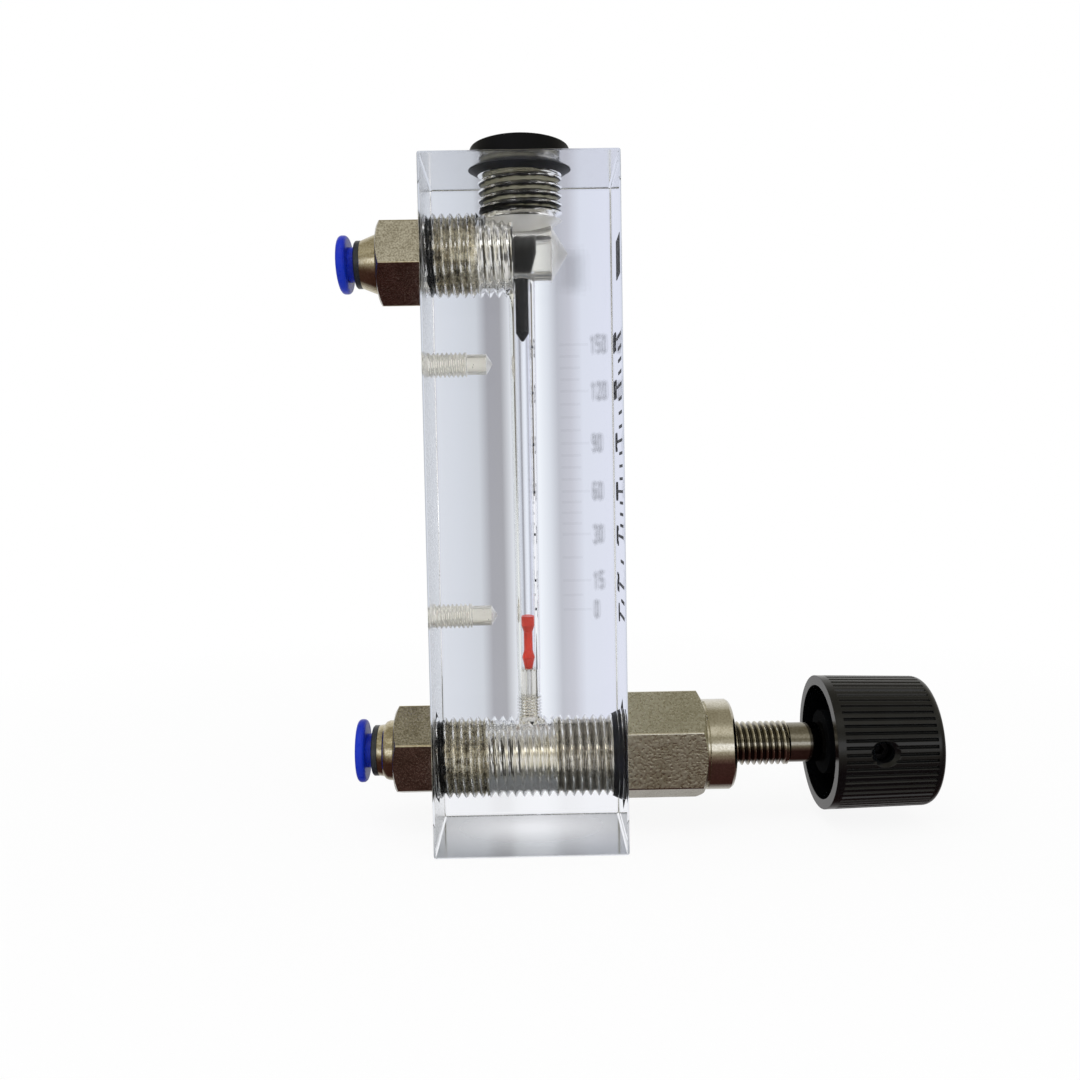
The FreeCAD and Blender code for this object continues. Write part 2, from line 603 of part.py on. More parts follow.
def valve_body():
    """Hexagon body with male thread, seal neck, nose, collar and stem bores."""
    bar = hexagon(FRONT_X, FRONT_X + VALVE_HEX_LENGTH, VALVE_HEX_AF, VALVE_HEX_TURN, INLET_Z, "end")
    neck_x = FRONT_X - VALVE_SINK_DEPTH
    groove_x = FRONT_X + VALVE_HEX_LENGTH
    collar_r = VALVE_COLLAR_D / 2
    outside = turned([
        (VALVE_NOSE_X, 0), (VALVE_NOSE_X, VALVE_NOSE_D / 2), (VALVE_THREAD_X, VALVE_NOSE_D / 2),
        (VALVE_THREAD_X, PORT_R), (neck_x, PORT_R), (neck_x, VALVE_NECK_D / 2), (FRONT_X, VALVE_NECK_D / 2),
        (FRONT_X, VALVE_GROOVE_D / 2), (groove_x + VALVE_GROOVE_WIDTH, VALVE_GROOVE_D / 2),
        (VALVE_COLLAR_X, collar_r), (VALVE_END_X - VALVE_COLLAR_EDGE, collar_r),
        (VALVE_END_X, collar_r - VALVE_COLLAR_EDGE), (VALVE_END_X, 0),
    ], AXIS_X, INLET_Z)
    stem_bore_r = STEM_THREAD_D / 2 + STEM_RUNNING_CLEARANCE
    inside = turned([
        (VALVE_NOSE_X, 0), (VALVE_NOSE_X, VALVE_CHAMBER_D / 2), (VALVE_CHAMBER_X, VALVE_CHAMBER_D / 2),
        (VALVE_CHAMBER_X, SEAL_BORE_D / 2), (STEM_BORE_X, SEAL_BORE_D / 2), (STEM_BORE_X, stem_bore_r),
        (VALVE_END_X, stem_bore_r), (VALVE_END_X, 0),
    ], AXIS_X, INLET_Z)
    cross = rod(INLET_Z - PORT_THREAD_D / 2, INLET_Z + PORT_THREAD_D / 2, VALVE_CROSS_D, AXIS_Z)
    cross.translate(Vector(VALVE_CROSS_X, 0, 0))
    return bar.fuse(outside).cut([inside, cross]).removeSplitter()


def valve_body_o_ring():
    """O-ring between the valve's hexagon and the block."""
    return squeezed_ring(FRONT_X, FRONT_X - VALVE_SINK_DEPTH, VALVE_SINK_D, VALVE_NECK_D, AXIS_X, INLET_Z)


def valve_seat():
    """Black rubber seat on the valve's nose, with the orifice that the needle closes."""
    hole_r = SEAT_ORIFICE_D / 2
    outer_x = VALVE_NOSE_X - SEAT_DISC_T
    return turned([
        (outer_x, hole_r), (outer_x, SEAT_DISC_D / 2), (VALVE_NOSE_X, SEAT_DISC_D / 2),
        (VALVE_NOSE_X, VALVE_CHAMBER_D / 2), (ORIFICE_X, VALVE_CHAMBER_D / 2), (ORIFICE_X, hole_r),
    ], AXIS_X, INLET_Z)


def stem_thread_profile():
    """Outline of the ridged thread length of the stem."""
    crest = STEM_THREAD_D / 2
    root = STEM_THREAD_ROOT_D / 2
    points = [(STEM_THREAD_START_X, root)]
    for index in range(STEM_THREAD_TURNS):
        start = STEM_THREAD_START_X + index * STEM_PITCH
        points.append((start + STEM_CREST_START * STEM_PITCH, crest))
        points.append((start + STEM_CREST_END * STEM_PITCH, crest))
        points.append((start + STEM_PITCH, root))
    return points


def valve_stem():
    """Needle, sealed shank with its O-ring groove, thread and smooth outer shank."""
    cone_x = NEEDLE_TIP_X + NEEDLE_CONE_LENGTH
    shoulder_x = cone_x + NEEDLE_PARALLEL
    seal_r = STEM_SEAL_D / 2
    groove_r = STEM_GROOVE_D / 2
    groove_end = STEM_GROOVE_X - STEM_GROOVE_WIDTH
    profile = [
        (NEEDLE_TIP_X, 0), (NEEDLE_TIP_X, NEEDLE_TIP_D / 2), (cone_x, NEEDLE_D / 2),
        (shoulder_x, NEEDLE_D / 2), (shoulder_x, seal_r), (groove_end, seal_r), (groove_end, groove_r),
        (STEM_GROOVE_X, groove_r), (STEM_GROOVE_X, seal_r), (STEM_THREAD_START_X, seal_r),
    ]
    profile += stem_thread_profile()
    profile += [(STEM_THREAD_END_X, STEM_SHANK_D / 2), (STEM_END_X, STEM_SHANK_D / 2), (STEM_END_X, 0)]
    return turned(profile, AXIS_X, INLET_Z)


def stem_o_ring():
    """O-ring in the stem's groove, sliding with it in the seal bore."""
    inner = STEM_GROOVE_D / 2 + STEM_RING_GAP
    outer = SEAL_BORE_D / 2 - STEM_RING_GAP
    edge = (outer - inner) / 3
    start = STEM_GROOVE_X - STEM_GROOVE_WIDTH + STEM_RING_GAP
    end = STEM_GROOVE_X - STEM_RING_GAP
    return turned([
        (start, inner + edge), (start, outer - edge), (start + edge, outer), (end - edge, outer),
        (end, outer - edge), (end, inner + edge), (end - edge, inner), (start + edge, inner),
    ], AXIS_X, INLET_Z)


def grub_direction():
    """Outward direction of the knob's radial screw hole."""
    tilt = math.radians(GRUB_TILT)
    return Vector(0, -math.cos(tilt), math.sin(tilt))


def grub_point(radius):
    """Point on the centre line of the knob's radial screw hole."""
    return Vector(KNOB_X + GRUB_FROM_RIM, 0, INLET_Z) + grub_direction() * radius


def radial_rod(inner, outer, diameter):
    """Cylinder along the knob's radial screw hole, between two radii."""
    return Part.makeCylinder(diameter / 2, outer - inner, grub_point(inner), grub_direction())


def knob_blank():
    """Knob without its ribs: drafted rim, rounded face, recess and boss."""
    rim_r = KNOB_RIM_D / 2
    face_r = KNOB_FACE_D / 2
    recess_x = KNOB_X + KNOB_RECESS_DEPTH
    boss_x = KNOB_X + KNOB_BOSS_INSET
    edge_x = KNOB_END_X - KNOB_FACE_EDGE
    stem_r = STEM_SHANK_D / 2
    middle = math.sqrt(0.5) * KNOB_FACE_EDGE
    centre_r = face_r - KNOB_FACE_EDGE
    points = [
        Vector(KNOB_X, 0, KNOB_RECESS_D / 2), Vector(KNOB_X, 0, rim_r), Vector(edge_x, 0, face_r),
        Vector(KNOB_END_X, 0, centre_r), Vector(KNOB_END_X, 0, 0), Vector(STEM_END_X, 0, 0),
        Vector(STEM_END_X, 0, stem_r), Vector(boss_x, 0, stem_r), Vector(boss_x, 0, KNOB_BOSS_D / 2),
        Vector(recess_x, 0, KNOB_BOSS_D / 2), Vector(recess_x, 0, KNOB_RECESS_D / 2),
    ]
    edges = []
    for index, point in enumerate(points):
        following = points[(index + 1) % len(points)]
        if index == 2:
            bend = Vector(edge_x + middle, 0, centre_r + middle)
            edges.append(Part.Arc(point, bend, following).toShape())
        else:
            edges.append(Part.LineSegment(point, following).toShape())
    blank = Part.Face(Part.Wire(edges)).revolve(Vector(0, 0, 0), AXIS_X, 360)
    blank.translate(Vector(0, 0, INLET_Z))
    return blank


def knob_grooves():
    """Shallow V grooves between the ribs, following the rim's draft."""
    start_x = KNOB_X + KNOB_RIB_MARGIN
    end_x = KNOB_END_X - KNOB_FACE_EDGE
    draft = (KNOB_RIM_D - KNOB_FACE_D) / 2 / (KNOB_LENGTH - KNOB_FACE_EDGE)
    wide = (1 + KNOB_GROOVE_OVERCUT) * KNOB_RIB_GROOVE / 2
    over = KNOB_GROOVE_OVERCUT * KNOB_RIB_DEPTH
    loops = []
    for station in (start_x, end_x):
        surface = KNOB_RIM_D / 2 - draft * (station - KNOB_X)
        low = Vector(station, 0, surface - KNOB_RIB_DEPTH)
        left = Vector(station, -wide, surface + over)
        right = Vector(station, wide, surface + over)
        loops.append(Part.makePolygon([low, left, right, low]))
    wedge = Part.makeLoft(loops, True, True)
    grooves = []
    for index in range(KNOB_RIBS):
        groove = wedge.copy()
        groove.rotate(Vector(0, 0, 0), AXIS_X, 360 * (index + 0.5) / KNOB_RIBS)
        groove.translate(Vector(0, 0, INLET_Z))
        grooves.append(groove)
    return grooves


def knob():
    """Ribbed knob with its radial screw hole."""
    sink_depth = (GRUB_SINK_D - GRUB_HOLE_D) / 2
    outer = KNOB_RIM_D / 2
    past = GRUB_CUT_PAST_RIM
    hole = radial_rod(0, outer + past, GRUB_HOLE_D)
    base = grub_point(outer - sink_depth - KNOB_RIB_DEPTH)
    sink = Part.makeCone(GRUB_HOLE_D / 2, GRUB_SINK_D / 2 + past, sink_depth + past, base, grub_direction())
    core = rod(KNOB_X, STEM_END_X, STEM_SHANK_D, AXIS_X, INLET_Z)
    return knob_blank().cut(knob_grooves()).cut([hole.cut(core), sink])


def knob_grub_screw():
    """Socket grub screw that clamps the knob on the stem."""
    inner = STEM_SHANK_D / 2
    screw = radial_rod(inner, inner + GRUB_LENGTH, GRUB_D)
    flat = rod(KNOB_X, STEM_END_X, STEM_SHANK_D, AXIS_X, INLET_Z)
    socket_r = GRUB_SOCKET_AF / math.sqrt(3)
    corners = []
    for index in range(7):
        angle = math.radians(60 * index)
        corners.append(Vector(socket_r * math.cos(angle), socket_r * math.sin(angle), 0))
    socket = Part.Face(Part.makePolygon(corners)).extrude(Vector(0, 0, GRUB_SOCKET_DEPTH))
    base = grub_point(inner + GRUB_LENGTH - GRUB_SOCKET_DEPTH)
    socket.Placement = FreeCAD.Placement(base, FreeCAD.Rotation(AXIS_Z, grub_direction()))
    return screw.cut([flat, socket])


def fitting_nodes(prefix, fitting):
    """The separate pieces of one rear fitting, by name."""
    return {
        prefix + "_fitting_body": fitting.body(),
        prefix + "_collet_guide": fitting.collet_guide(),
        prefix + "_grab_ring": fitting.grab_ring(),
        prefix + "_tube_seal": fitting.tube_seal(),
        prefix + "_release_sleeve": fitting.release_sleeve(),
    }


def all_nodes():
    """Every piece of the rotameter, by name."""
    nodes = {
        "acrylic_block": acrylic_block(),
        "scale_ticks": scale_ticks(),
        "scale_numerals": scale_numerals(),
        "scale_header_bar": scale_header_bar(),
        "top_plug": top_plug(),
        "top_plug_o_ring": top_plug_o_ring(),
        "metering_float": metering_float(),
        "float_seat": float_seat(),
        "valve_body": valve_body(),
        "valve_body_o_ring": valve_body_o_ring(),
        "valve_seat": valve_seat(),
        "valve_stem": valve_stem(),
        "stem_o_ring": stem_o_ring(),
        "knob": knob(),
        "knob_grub_screw": knob_grub_screw(),
    }
    outlet = RearFitting(
        OUTLET_Z, OUTLET_STAND_OFF, OUTLET_HEX_AF, OUTLET_HEX_TURN, OUTLET_BARREL_D, OUTLET_MOUTH_D, False)
    inlet = RearFitting(
        INLET_Z, INLET_STAND_OFF, INLET_HEX_AF, INLET_HEX_TURN, INLET_BARREL_D, INLET_MOUTH_D, True)
    nodes.update(fitting_nodes("outlet", outlet))
    nodes.update(fitting_nodes("inlet", inlet))
    return nodes


def main():
    """Writes each piece to its own file."""
    os.makedirs("parts", exist_ok=True)
    for name, shape in all_nodes().items():
        solids = shape.Solids
        assert solids and all(solid.isValid() and solid.Volume > 0 for solid in solids), name
        piece = solids[0] if len(solids) == 1 else Part.makeCompound(solids)
        piece.exportStep("parts/" + name + ".step")
        print(name, len(solids), round(piece.Volume, 3))


main()
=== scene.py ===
import logging
import math
from dataclasses import dataclass
from enum import Enum
from typing import Any, Iterable, Optional, Sequence

import bmesh
import bpy
from mathutils import Matrix, Vector


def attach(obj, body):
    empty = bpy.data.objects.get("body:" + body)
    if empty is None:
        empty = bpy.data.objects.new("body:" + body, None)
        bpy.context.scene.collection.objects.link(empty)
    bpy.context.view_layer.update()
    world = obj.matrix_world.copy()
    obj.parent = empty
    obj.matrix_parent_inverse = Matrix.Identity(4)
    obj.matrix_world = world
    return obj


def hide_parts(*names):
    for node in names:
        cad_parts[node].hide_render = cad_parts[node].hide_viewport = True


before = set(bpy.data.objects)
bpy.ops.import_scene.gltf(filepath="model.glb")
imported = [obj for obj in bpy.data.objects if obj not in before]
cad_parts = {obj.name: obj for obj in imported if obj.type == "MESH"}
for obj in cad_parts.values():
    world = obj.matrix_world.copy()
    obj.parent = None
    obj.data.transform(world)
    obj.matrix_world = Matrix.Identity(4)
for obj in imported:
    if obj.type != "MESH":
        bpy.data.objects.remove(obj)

LOG = logging.getLogger("rotameter")
MM = 0.001
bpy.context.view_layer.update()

# Pipe thread of the three ports (G 1/4), and the crests of the pieces screwed into them.
G_MAJOR_R = 6.5785
G_DEPTH = 0.856
G_PITCH = 1.337
WET_CONTACT = 0.02
CREST_R = G_MAJOR_R - 0.12
NO_CAP_R = 99.0

# Mouth radius and depth of the countersinks that take the two O-rings.
TOP_SINK = (8.0, 0.85)
VALVE_SINK = (7.45, 1.8)

# A drill's point of 118 degrees, and how far a cutter starts outside the face it cuts.
DRILL_SLOPE = math.tan(math.radians(59))
OVERRUN = 1.0

# Least share of a face's normal along an axis for the face to count as facing that way.
FACING_SHARE = 0.9

Item = bpy.types.Object
Mesh = bpy.types.Mesh
Material = bpy.types.Material
Shape = bmesh.types.BMesh
Profile = Sequence[tuple[float, float]]
Spot = tuple[float, float, float]
Tone = str | float


class Line(Enum):
    """The line that a turned piece is turned about. Each value keeps the two axes square to it."""

    ACROSS = (0, 1, 1)
    UPRIGHT = (1, 1, 0)


class End(Enum):
    """The end of a hexagon bar whose corners are turned down."""

    LOW = "low"
    HIGH = "high"


def tone(value: Tone) -> tuple[float, float, float, float]:
    """Makes a linear colour.

    Args:
        value: Six hex digits of an sRGB colour, or the level of a linear grey.

    Returns:
        Linear red, green and blue, and an alpha of 1.
    """
    if not isinstance(value, str):
        return (value, value, value, 1.0)
    levels = [int(value[i:i + 2], 16) / 255 for i in (0, 2, 4)]
    red, green, blue = (x / 12.92 if x <= 0.04045 else ((x + 0.055) / 1.055) ** 2.4 for x in levels)
    return (red, green, blue, 1.0)


def placed(name: str, data: Any) -> Item:
    """Links data to the scene as an object at the origin.

    Args:
        name: Name of the object.
        data: Its mesh, camera or lamp.

    Returns:
        The object.
    """
    item = bpy.data.objects.new(name, data)
    bpy.context.scene.collection.objects.link(item)
    return item


def baked(name: str, shape: Shape, materials: Iterable[Material]) -> Mesh:
    """Turns a bmesh into a mesh and frees it.

    Args:
        name: Name of the mesh.
        shape: Its faces.
        materials: Its material slots.

    Returns:
        The mesh.
    """
    mesh = bpy.data.meshes.new(name)
    shape.to_mesh(mesh)
    shape.free()
    for material in materials:
        mesh.materials.append(material)
    return mesh


def plain_mesh(item: Item) -> Mesh:
    """Takes the evaluated mesh of an object as plain data.

    Args:
        item: Object with live modifiers.

    Returns:
        The mesh.
    """
    bpy.context.view_layer.update()
    graph = bpy.context.evaluated_depsgraph_get()
    final = item.evaluated_get(graph)
    return bpy.data.meshes.new_from_object(final, preserve_all_data_layers=True, depsgraph=graph)


class Nodes:
    """A node tree, with short ways to add to it. Lengths on sockets are in metres."""

    EDGE_SAMPLES = 6

    def __init__(self, owner: Any) -> None:
        """Takes a node group, or empties the tree of a material or world.

        Args:
            owner: The node group, material or world.
        """
        self.owner = owner
        self.tree = owner
        if not isinstance(owner, bpy.types.NodeTree):
            owner.use_nodes = True
            self.tree = owner.node_tree
            self.tree.nodes.clear()

    @classmethod
    def named(cls, name: str) -> "Nodes":
        """The empty tree of a new material."""
        return cls(bpy.data.materials.new(name))

    def close(self, surface: Any, kind: str = "Material") -> Any:
        """Links the surface to the output, and gives back the material or world."""
        self.add(f"ShaderNodeOutput{kind}", {"Surface": surface})
        return self.owner

    def add(self, kind: str, inputs: Optional[dict[Any, Any]] = None, **settings: Any) -> Any:
        """Adds one node with its settings, values and links.

        Args:
            kind: Type of the node.
            inputs: Socket name or number to a value, or to a socket to link from.
            **settings: Properties of the node.

        Returns:
            The new node.
        """
        node = self.tree.nodes.new(kind)
        for name, value in settings.items():
            setattr(node, name, value)
        for key, value in (inputs or {}).items():
            if isinstance(value, bpy.types.NodeSocket):
                self.tree.links.new(value, node.inputs[key])
            else:
                node.inputs[key].default_value = value
        return node

    def place(self, kind: str = "Object") -> Any:
        """The coordinates of a piece, or of another kind."""
        return self.add("ShaderNodeTexCoord").outputs[kind]

    def axis(self, name: str, place: Any = None) -> Any:
        """One coordinate of a piece, or of a place."""
        return self.add("ShaderNodeSeparateXYZ", {0: place or self.place()}).outputs[name]

    def calc(self, operation: str, *values: Any) -> Any:
        """The result of a Math node."""
        return self.add("ShaderNodeMath", dict(enumerate(values)), operation=operation).outputs[0]

    def share(self, value: Any, low: float, high: float, at_low: float = 0.0, at_high: float = 1.0) -> Any:
        """A value that goes from at_low to at_high while the given one goes from low to high."""
        return self.add("ShaderNodeMapRange", {0: value, 1: low, 2: high, 3: at_low, 4: at_high}).outputs[0]

    def clamp(self, value: Any) -> Any:
        """A value held between 0 and 1."""
        return self.add("ShaderNodeClamp", {"Value": value}).outputs[0]

    def grain(self, size_mm: float, detail: float = 2.0) -> Any:
        """A noise whose grains have a real size."""
        inputs = {"Vector": self.place(), "Scale": 1 / (size_mm * MM), "Detail": detail}
        return self.add("ShaderNodeTexNoise", inputs).outputs["Fac"]

    def away(self, centre_mm: Spot, kept: Spot = (1, 1, 1)) -> Any:
        """Adds the distance to a point, or to a line through it.

        Args:
            centre_mm: The point.
            kept: 1 for each axis that counts, and 0 for an axis that the line follows.

        Returns:
            The distance socket.
        """
        flat = self.add("ShaderNodeVectorMath", {0: self.place(), 1: kept}, operation="MULTIPLY").outputs[0]
        centre = tuple(value * used * MM for value, used in zip(centre_mm, kept))
        return self.add("ShaderNodeVectorMath", {0: flat, 1: centre}, operation="DISTANCE").outputs["Value"]

    def between(self, height_mm: float, low_mm: float, high_mm: float, line: Line = Line.ACROSS) -> Any:
        """The distance from a turned piece's axis, as a share between two radii."""
        return self.share(self.away((0.0, 0.0, height_mm), line.value), low_mm * MM, high_mm * MM)

    def ramp(self, value: Any, *stops: tuple[float, Tone]) -> Any:
        """Adds a colour ramp.

        Args:
            value: Socket that drives the ramp.
            *stops: Positions and tones.

        Returns:
            The colour socket.
        """
        node = self.add("ShaderNodeValToRGB", {"Fac": value})
        band = node.color_ramp
        while len(band.elements) < len(stops):
            band.elements.new(1.0)
        for element, (position, level) in zip(band.elements, stops):
            element.position = position
            element.color = tone(level)
        return node.outputs["Color"]

    def uneven(self, value: Any, level: float, least: float = 0.75, most: float = 1.3,
               end: float = 0.7) -> Any:
        """A level that wavers between a least and a most share of itself."""
        return self.ramp(value, (0.3, level * least), (end, level * most))

    def blend(self, cover: Any, under: Any, over: Any) -> Any:
        """A colour laid over another as far as the cover says."""
        return self.add("ShaderNodeMix", {0: cover, 6: under, 7: over}, data_type="RGBA").outputs[2]

    def mix(self, share: Any, first: Any, second: Any) -> Any:
        """One shader that gives way to another by a share."""
        return self.add("ShaderNodeMixShader", {0: share, 1: first, 2: second}).outputs[0]

    def light(self, kind: str, colour: Any) -> Any:
        """A shader of strength 1: Emission on a card, or Background in the world."""
        return self.add(f"ShaderNode{kind}", {"Color": colour, "Strength": 1.0}).outputs[0]

    def bump(self, height: Any, strength: float, relief_mm: float, edge_mm: float = 0.0) -> Any:
        """Adds a fine relief.

        Args:
            height: Socket of the relief.
            strength: Share of it that shows.
            relief_mm: Its full height.
            edge_mm: Radius that the piece's edges seem to have.

        Returns:
            The normal socket.
        """
        inputs = {"Height": height, "Strength": strength, "Distance": relief_mm * MM}
        if edge_mm:
            soft = self.add("ShaderNodeBevel", {"Radius": edge_mm * MM}, samples=self.EDGE_SAMPLES)
            inputs["Normal"] = soft.outputs[0]
        return self.add("ShaderNodeBump", inputs).outputs[0]


@dataclass(frozen=True)
class Finish:
    """A finish of the meter. Each kind says what its shader gets."""

    name: str

    def inputs(self, nodes: Nodes) -> dict[str, Any]:
        """Values and sockets by the name of the shader's input."""
        raise NotImplementedError

    def build(self) -> Material:
        """Makes the material."""
        nodes = Nodes.named(self.name)
        return nodes.close(nodes.add("ShaderNodeBsdfPrincipled", self.inputs(nodes)).outputs[0])


@dataclass(frozen=True)
class Acrylic(Finish):
    """Cast acrylic (PMMA): water clear, edges faintly cool."""

    tint: str = "F7F8FB"
    ior: float = 1.49
    near_shine: float = 0.25

    def clear(self, share: float = 1.0) -> dict[str, Any]:
        """Inputs of acrylic that lets a share of the light through."""
        return {"Base Color": tone(self.tint), "IOR": self.ior, "Transmission Weight": share,
                "Specular Tint": tone(self.near_shine)}


@dataclass(frozen=True)
class PolishedAcrylic(Acrylic):
    """Acrylic with a polished face: sharp reflections and hardly any haze."""

    scratch_mm: float = 1.1
    haze: float = 0.025

    def inputs(self, nodes: Nodes) -> dict[str, Any]:
        """Clear acrylic whose polish varies very slightly."""
        scratches = nodes.grain(self.scratch_mm, 4.0)
        return {**self.clear(), "Roughness": nodes.ramp(scratches, (0.45, 0.0), (0.8, self.haze))}


@dataclass(frozen=True)
class MachinedAcrylic(Acrylic):
    """Acrylic as a drill, tap or saw leaves it: see-through, but frosted along the tool marks."""

    tint: str = "F0ECE0"
    roughness: float = 0.18
    mark_mm: float = 0.45
    bump: float = 0.07
    relief_mm: float = 0.02
    milk: float = 0.0
    stain_mm: Optional[Spot] = None
    stain_r_mm: float = 3.0
    stain_grain_mm: float = 0.5
    unshaded_centre_mm: Optional[Spot] = None
    unshaded_r_mm: float = 20.0

    RESIDUE = "5A3B1E"
    STAIN_CORE = 0.6
    STAIN_COVER = 0.62

    def _stained(self, nodes: Nodes) -> dict[str, Any]:
        """Adds a brown residue around one point, as at the mouth of the metering bore.

        Args:
            nodes: Tree of the material.

        Returns:
            Inputs of the shader.
        """
        radius = self.stain_r_mm * MM
        near = nodes.share(nodes.away(self.stain_mm), radius * self.STAIN_CORE, radius, self.STAIN_COVER, 0.0)
        patch = nodes.calc("ADD", near, nodes.grain(self.stain_grain_mm, 3.0))
        cover = nodes.ramp(patch, (0.98, 0.0), (1.0, 1.0))
        return {
            "Base Color": nodes.blend(cover, tone(self.tint), tone(self.RESIDUE)),
            "Transmission Weight": nodes.ramp(patch, (0.98, 1.0), (1.0, 0.15)),
        }

    def inputs(self, nodes: Nodes) -> dict[str, Any]:
        """Frosted acrylic with fine uneven tool marks.

        Args:
            nodes: Tree of the material.

        Returns:
            Inputs of the shader.
        """
        marks = nodes.grain(self.mark_mm, 3.0)
        found = self.clear(1.0 - self.milk)
        found["Roughness"] = nodes.uneven(marks, self.roughness, end=0.75)
        found["Normal"] = nodes.bump(marks, self.bump, self.relief_mm)
        if self.stain_mm is not None:
            found.update(self._stained(nodes))
        # Painted shade: away from this point the face lets less light through and shows its grey tint, a
        # contact shadow painted on the foot.
        if self.unshaded_centre_mm is not None:
            outward = nodes.share(nodes.away(self.unshaded_centre_mm), 0.0, self.unshaded_r_mm * MM)
            found["Transmission Weight"] = nodes.ramp(outward, (0.1, 0.85), (0.5, 0.5), (1.0, 0.2))
        return found


@dataclass(frozen=True)
class NickelPlate(Finish):
    """Bright nickel over brass: warm beige-grey, grainy where it was hot pressed, smoother where turned."""

    pale: str
    dark: str
    roughness: float = 0.32
    grain_mm: float = 0.28
    bump: float = 0.35
    metallic: float = 1.0
    grime: float = 0.0
    root_mm: Optional[Spot] = None
    sealant_mm: Optional[tuple[float, float]] = None
    relief_mm: float = 0.03
    grime_mm: float = 1.3
    sealant_grain_mm: float = 1.6

    CLOUD_SIZE = 9
    CLOUD_SHARE = 0.3
    # Painted shade in thread roots: how far it covers, and its brown, which is partly dirt.
    ROOT_COVER = 0.85
    ROOT_SHADE_AND_DIRT = "2A2014"
    BROWN_GRIME = "4B412F"
    BLACK_SEALANT = "141516"

    def _soiled_and_shaded(self, nodes: Nodes, colour: Any) -> dict[str, Any]:
        """Paints shade into thread roots in a dirt brown, adds brown grime, and black sealant towards one
        end.

        Args:
            nodes: Tree of the material.
            colour: Socket of the clean metal's colour.

        Returns:
            Inputs of the shader.
        """
        metallic = self.metallic
        if self.root_mm is not None:
            # Painted shade: darker brown towards the thread roots, where shade falls.
            cover = nodes.ramp(nodes.between(*self.root_mm), (0.0, self.ROOT_COVER), (0.75, 0.0))
            colour = nodes.blend(cover, colour, tone(self.ROOT_SHADE_AND_DIRT))
        if self.grime:
            cover = nodes.ramp(nodes.grain(self.grime_mm, 4.0), (0.54, 0.0), (0.66, self.grime))
            colour = nodes.blend(cover, colour, tone(self.BROWN_GRIME))
        if self.sealant_mm is not None:
            low, high = self.sealant_mm
            fade = nodes.share(nodes.axis("X"), low * MM, high * MM, 1.0, 0.0)
            level = nodes.calc("ADD", fade, nodes.grain(self.sealant_grain_mm, 4.0))
            cover = nodes.ramp(level, (0.86, 0.0), (0.96, 1.0))
            colour = nodes.blend(cover, colour, tone(self.BLACK_SEALANT))
            metallic = nodes.ramp(level, (0.86, self.metallic), (0.96, 0.0))
        return {"Base Color": colour, "Metallic": metallic}

    def inputs(self, nodes: Nodes) -> dict[str, Any]:
        """Grained metal with what soils it, and painted shade in its thread roots.

        Args:
            nodes: Tree of the material.

        Returns:
            Inputs of the shader.
        """
        fine = nodes.grain(self.grain_mm, 3.0)
        cloud = nodes.calc("MULTIPLY", nodes.grain(self.grain_mm * self.CLOUD_SIZE), self.CLOUD_SHARE)
        mixed = nodes.calc("MULTIPLY_ADD", fine, 1 - self.CLOUD_SHARE, cloud)
        colour = nodes.ramp(mixed, (0.38, self.dark), (0.6, self.pale))
        return {
            **self._soiled_and_shaded(nodes, colour),
            "Roughness": nodes.uneven(fine, self.roughness),
            "Normal": nodes.bump(fine, self.bump, self.relief_mm),
        }


@dataclass(frozen=True)
class PastedThread(Finish):
    """Black screw thread in olive thread paste: crests that press on the acrylic stay black."""

    root_mm: float
    crest_mm: float
    top_mm: float
    low_mm: float
    specular: float = 0.3
    grain_mm: float = 0.3
    wear_mm: float = 1.4

    PASTE = ((0.75, "A8A592"), (0.95, "77745F"), (1.0, "101114"))

    def inputs(self, nodes: Nodes) -> dict[str, Any]:
        """Black and olive arcs that follow the thread, blacker towards its lower end.

        Args:
            nodes: Tree of the material.

        Returns:
            Inputs of the shader.
        """
        crest = nodes.between(0.0, self.root_mm, self.crest_mm, Line.UPRIGHT)
        low = nodes.share(nodes.axis("Z"), self.low_mm * MM, self.top_mm * MM, 0.3, -0.15)
        wear = nodes.calc("ADD", nodes.grain(self.wear_mm, 4.0), low)
        return {
            "Base Color": nodes.ramp(nodes.calc("ADD", crest, wear), *self.PASTE),
            "Roughness": nodes.ramp(nodes.grain(self.grain_mm), (0.3, 0.35), (0.7, 0.55)),
            "Specular IOR Level": self.specular,
        }


@dataclass(frozen=True)
class Moulded(Finish):
    """Injection-moulded plastic or rubber with a fine tool texture."""

    colour: str
    shade: str
    roughness: float = 0.4
    grain_mm: float = 0.3
    bump: float = 0.15
    specular: float = 0.5
    subsurface: float = 0.0
    relief_mm: float = 0.02
    dull_mm: Optional[Spot] = None
    edge_mm: float = 0.0
    glow_mm: float = 0.6

    CLOUD_SIZE = 12
    DULL_ROUGHNESS = 0.95
    DULL_SPECULAR = 0.04
    GLOW_COLOUR = (1.0, 0.4, 0.25)

    def inputs(self, nodes: Nodes) -> dict[str, Any]:
        """Plastic whose colour and gloss vary a little with its tool texture, dull inside a radius if asked.

        Args:
            nodes: Tree of the material.

        Returns:
            Inputs of the shader.
        """
        fine = nodes.grain(self.grain_mm, 3.0)
        broad = nodes.grain(self.grain_mm * self.CLOUD_SIZE)
        found = {
            "Base Color": nodes.ramp(broad, (0.35, self.shade), (0.65, self.colour)),
            "Normal": nodes.bump(fine, self.bump, self.relief_mm, self.edge_mm),
        }
        if self.dull_mm is None:
            found["Roughness"] = nodes.uneven(fine, self.roughness, 0.85, 1.2)
            found["Specular IOR Level"] = self.specular
        else:
            outward = nodes.between(*self.dull_mm)
            found["Roughness"] = nodes.ramp(outward, (0.0, self.DULL_ROUGHNESS), (1.0, self.roughness))
            shine = nodes.ramp(outward, (0.0, self.DULL_SPECULAR), (1.0, self.specular))
            found["Specular IOR Level"] = shine
        if self.subsurface:
            found["Subsurface Weight"] = self.subsurface
            found["Subsurface Radius"] = self.GLOW_COLOUR
            found["Subsurface Scale"] = self.glow_mm * MM
        return found


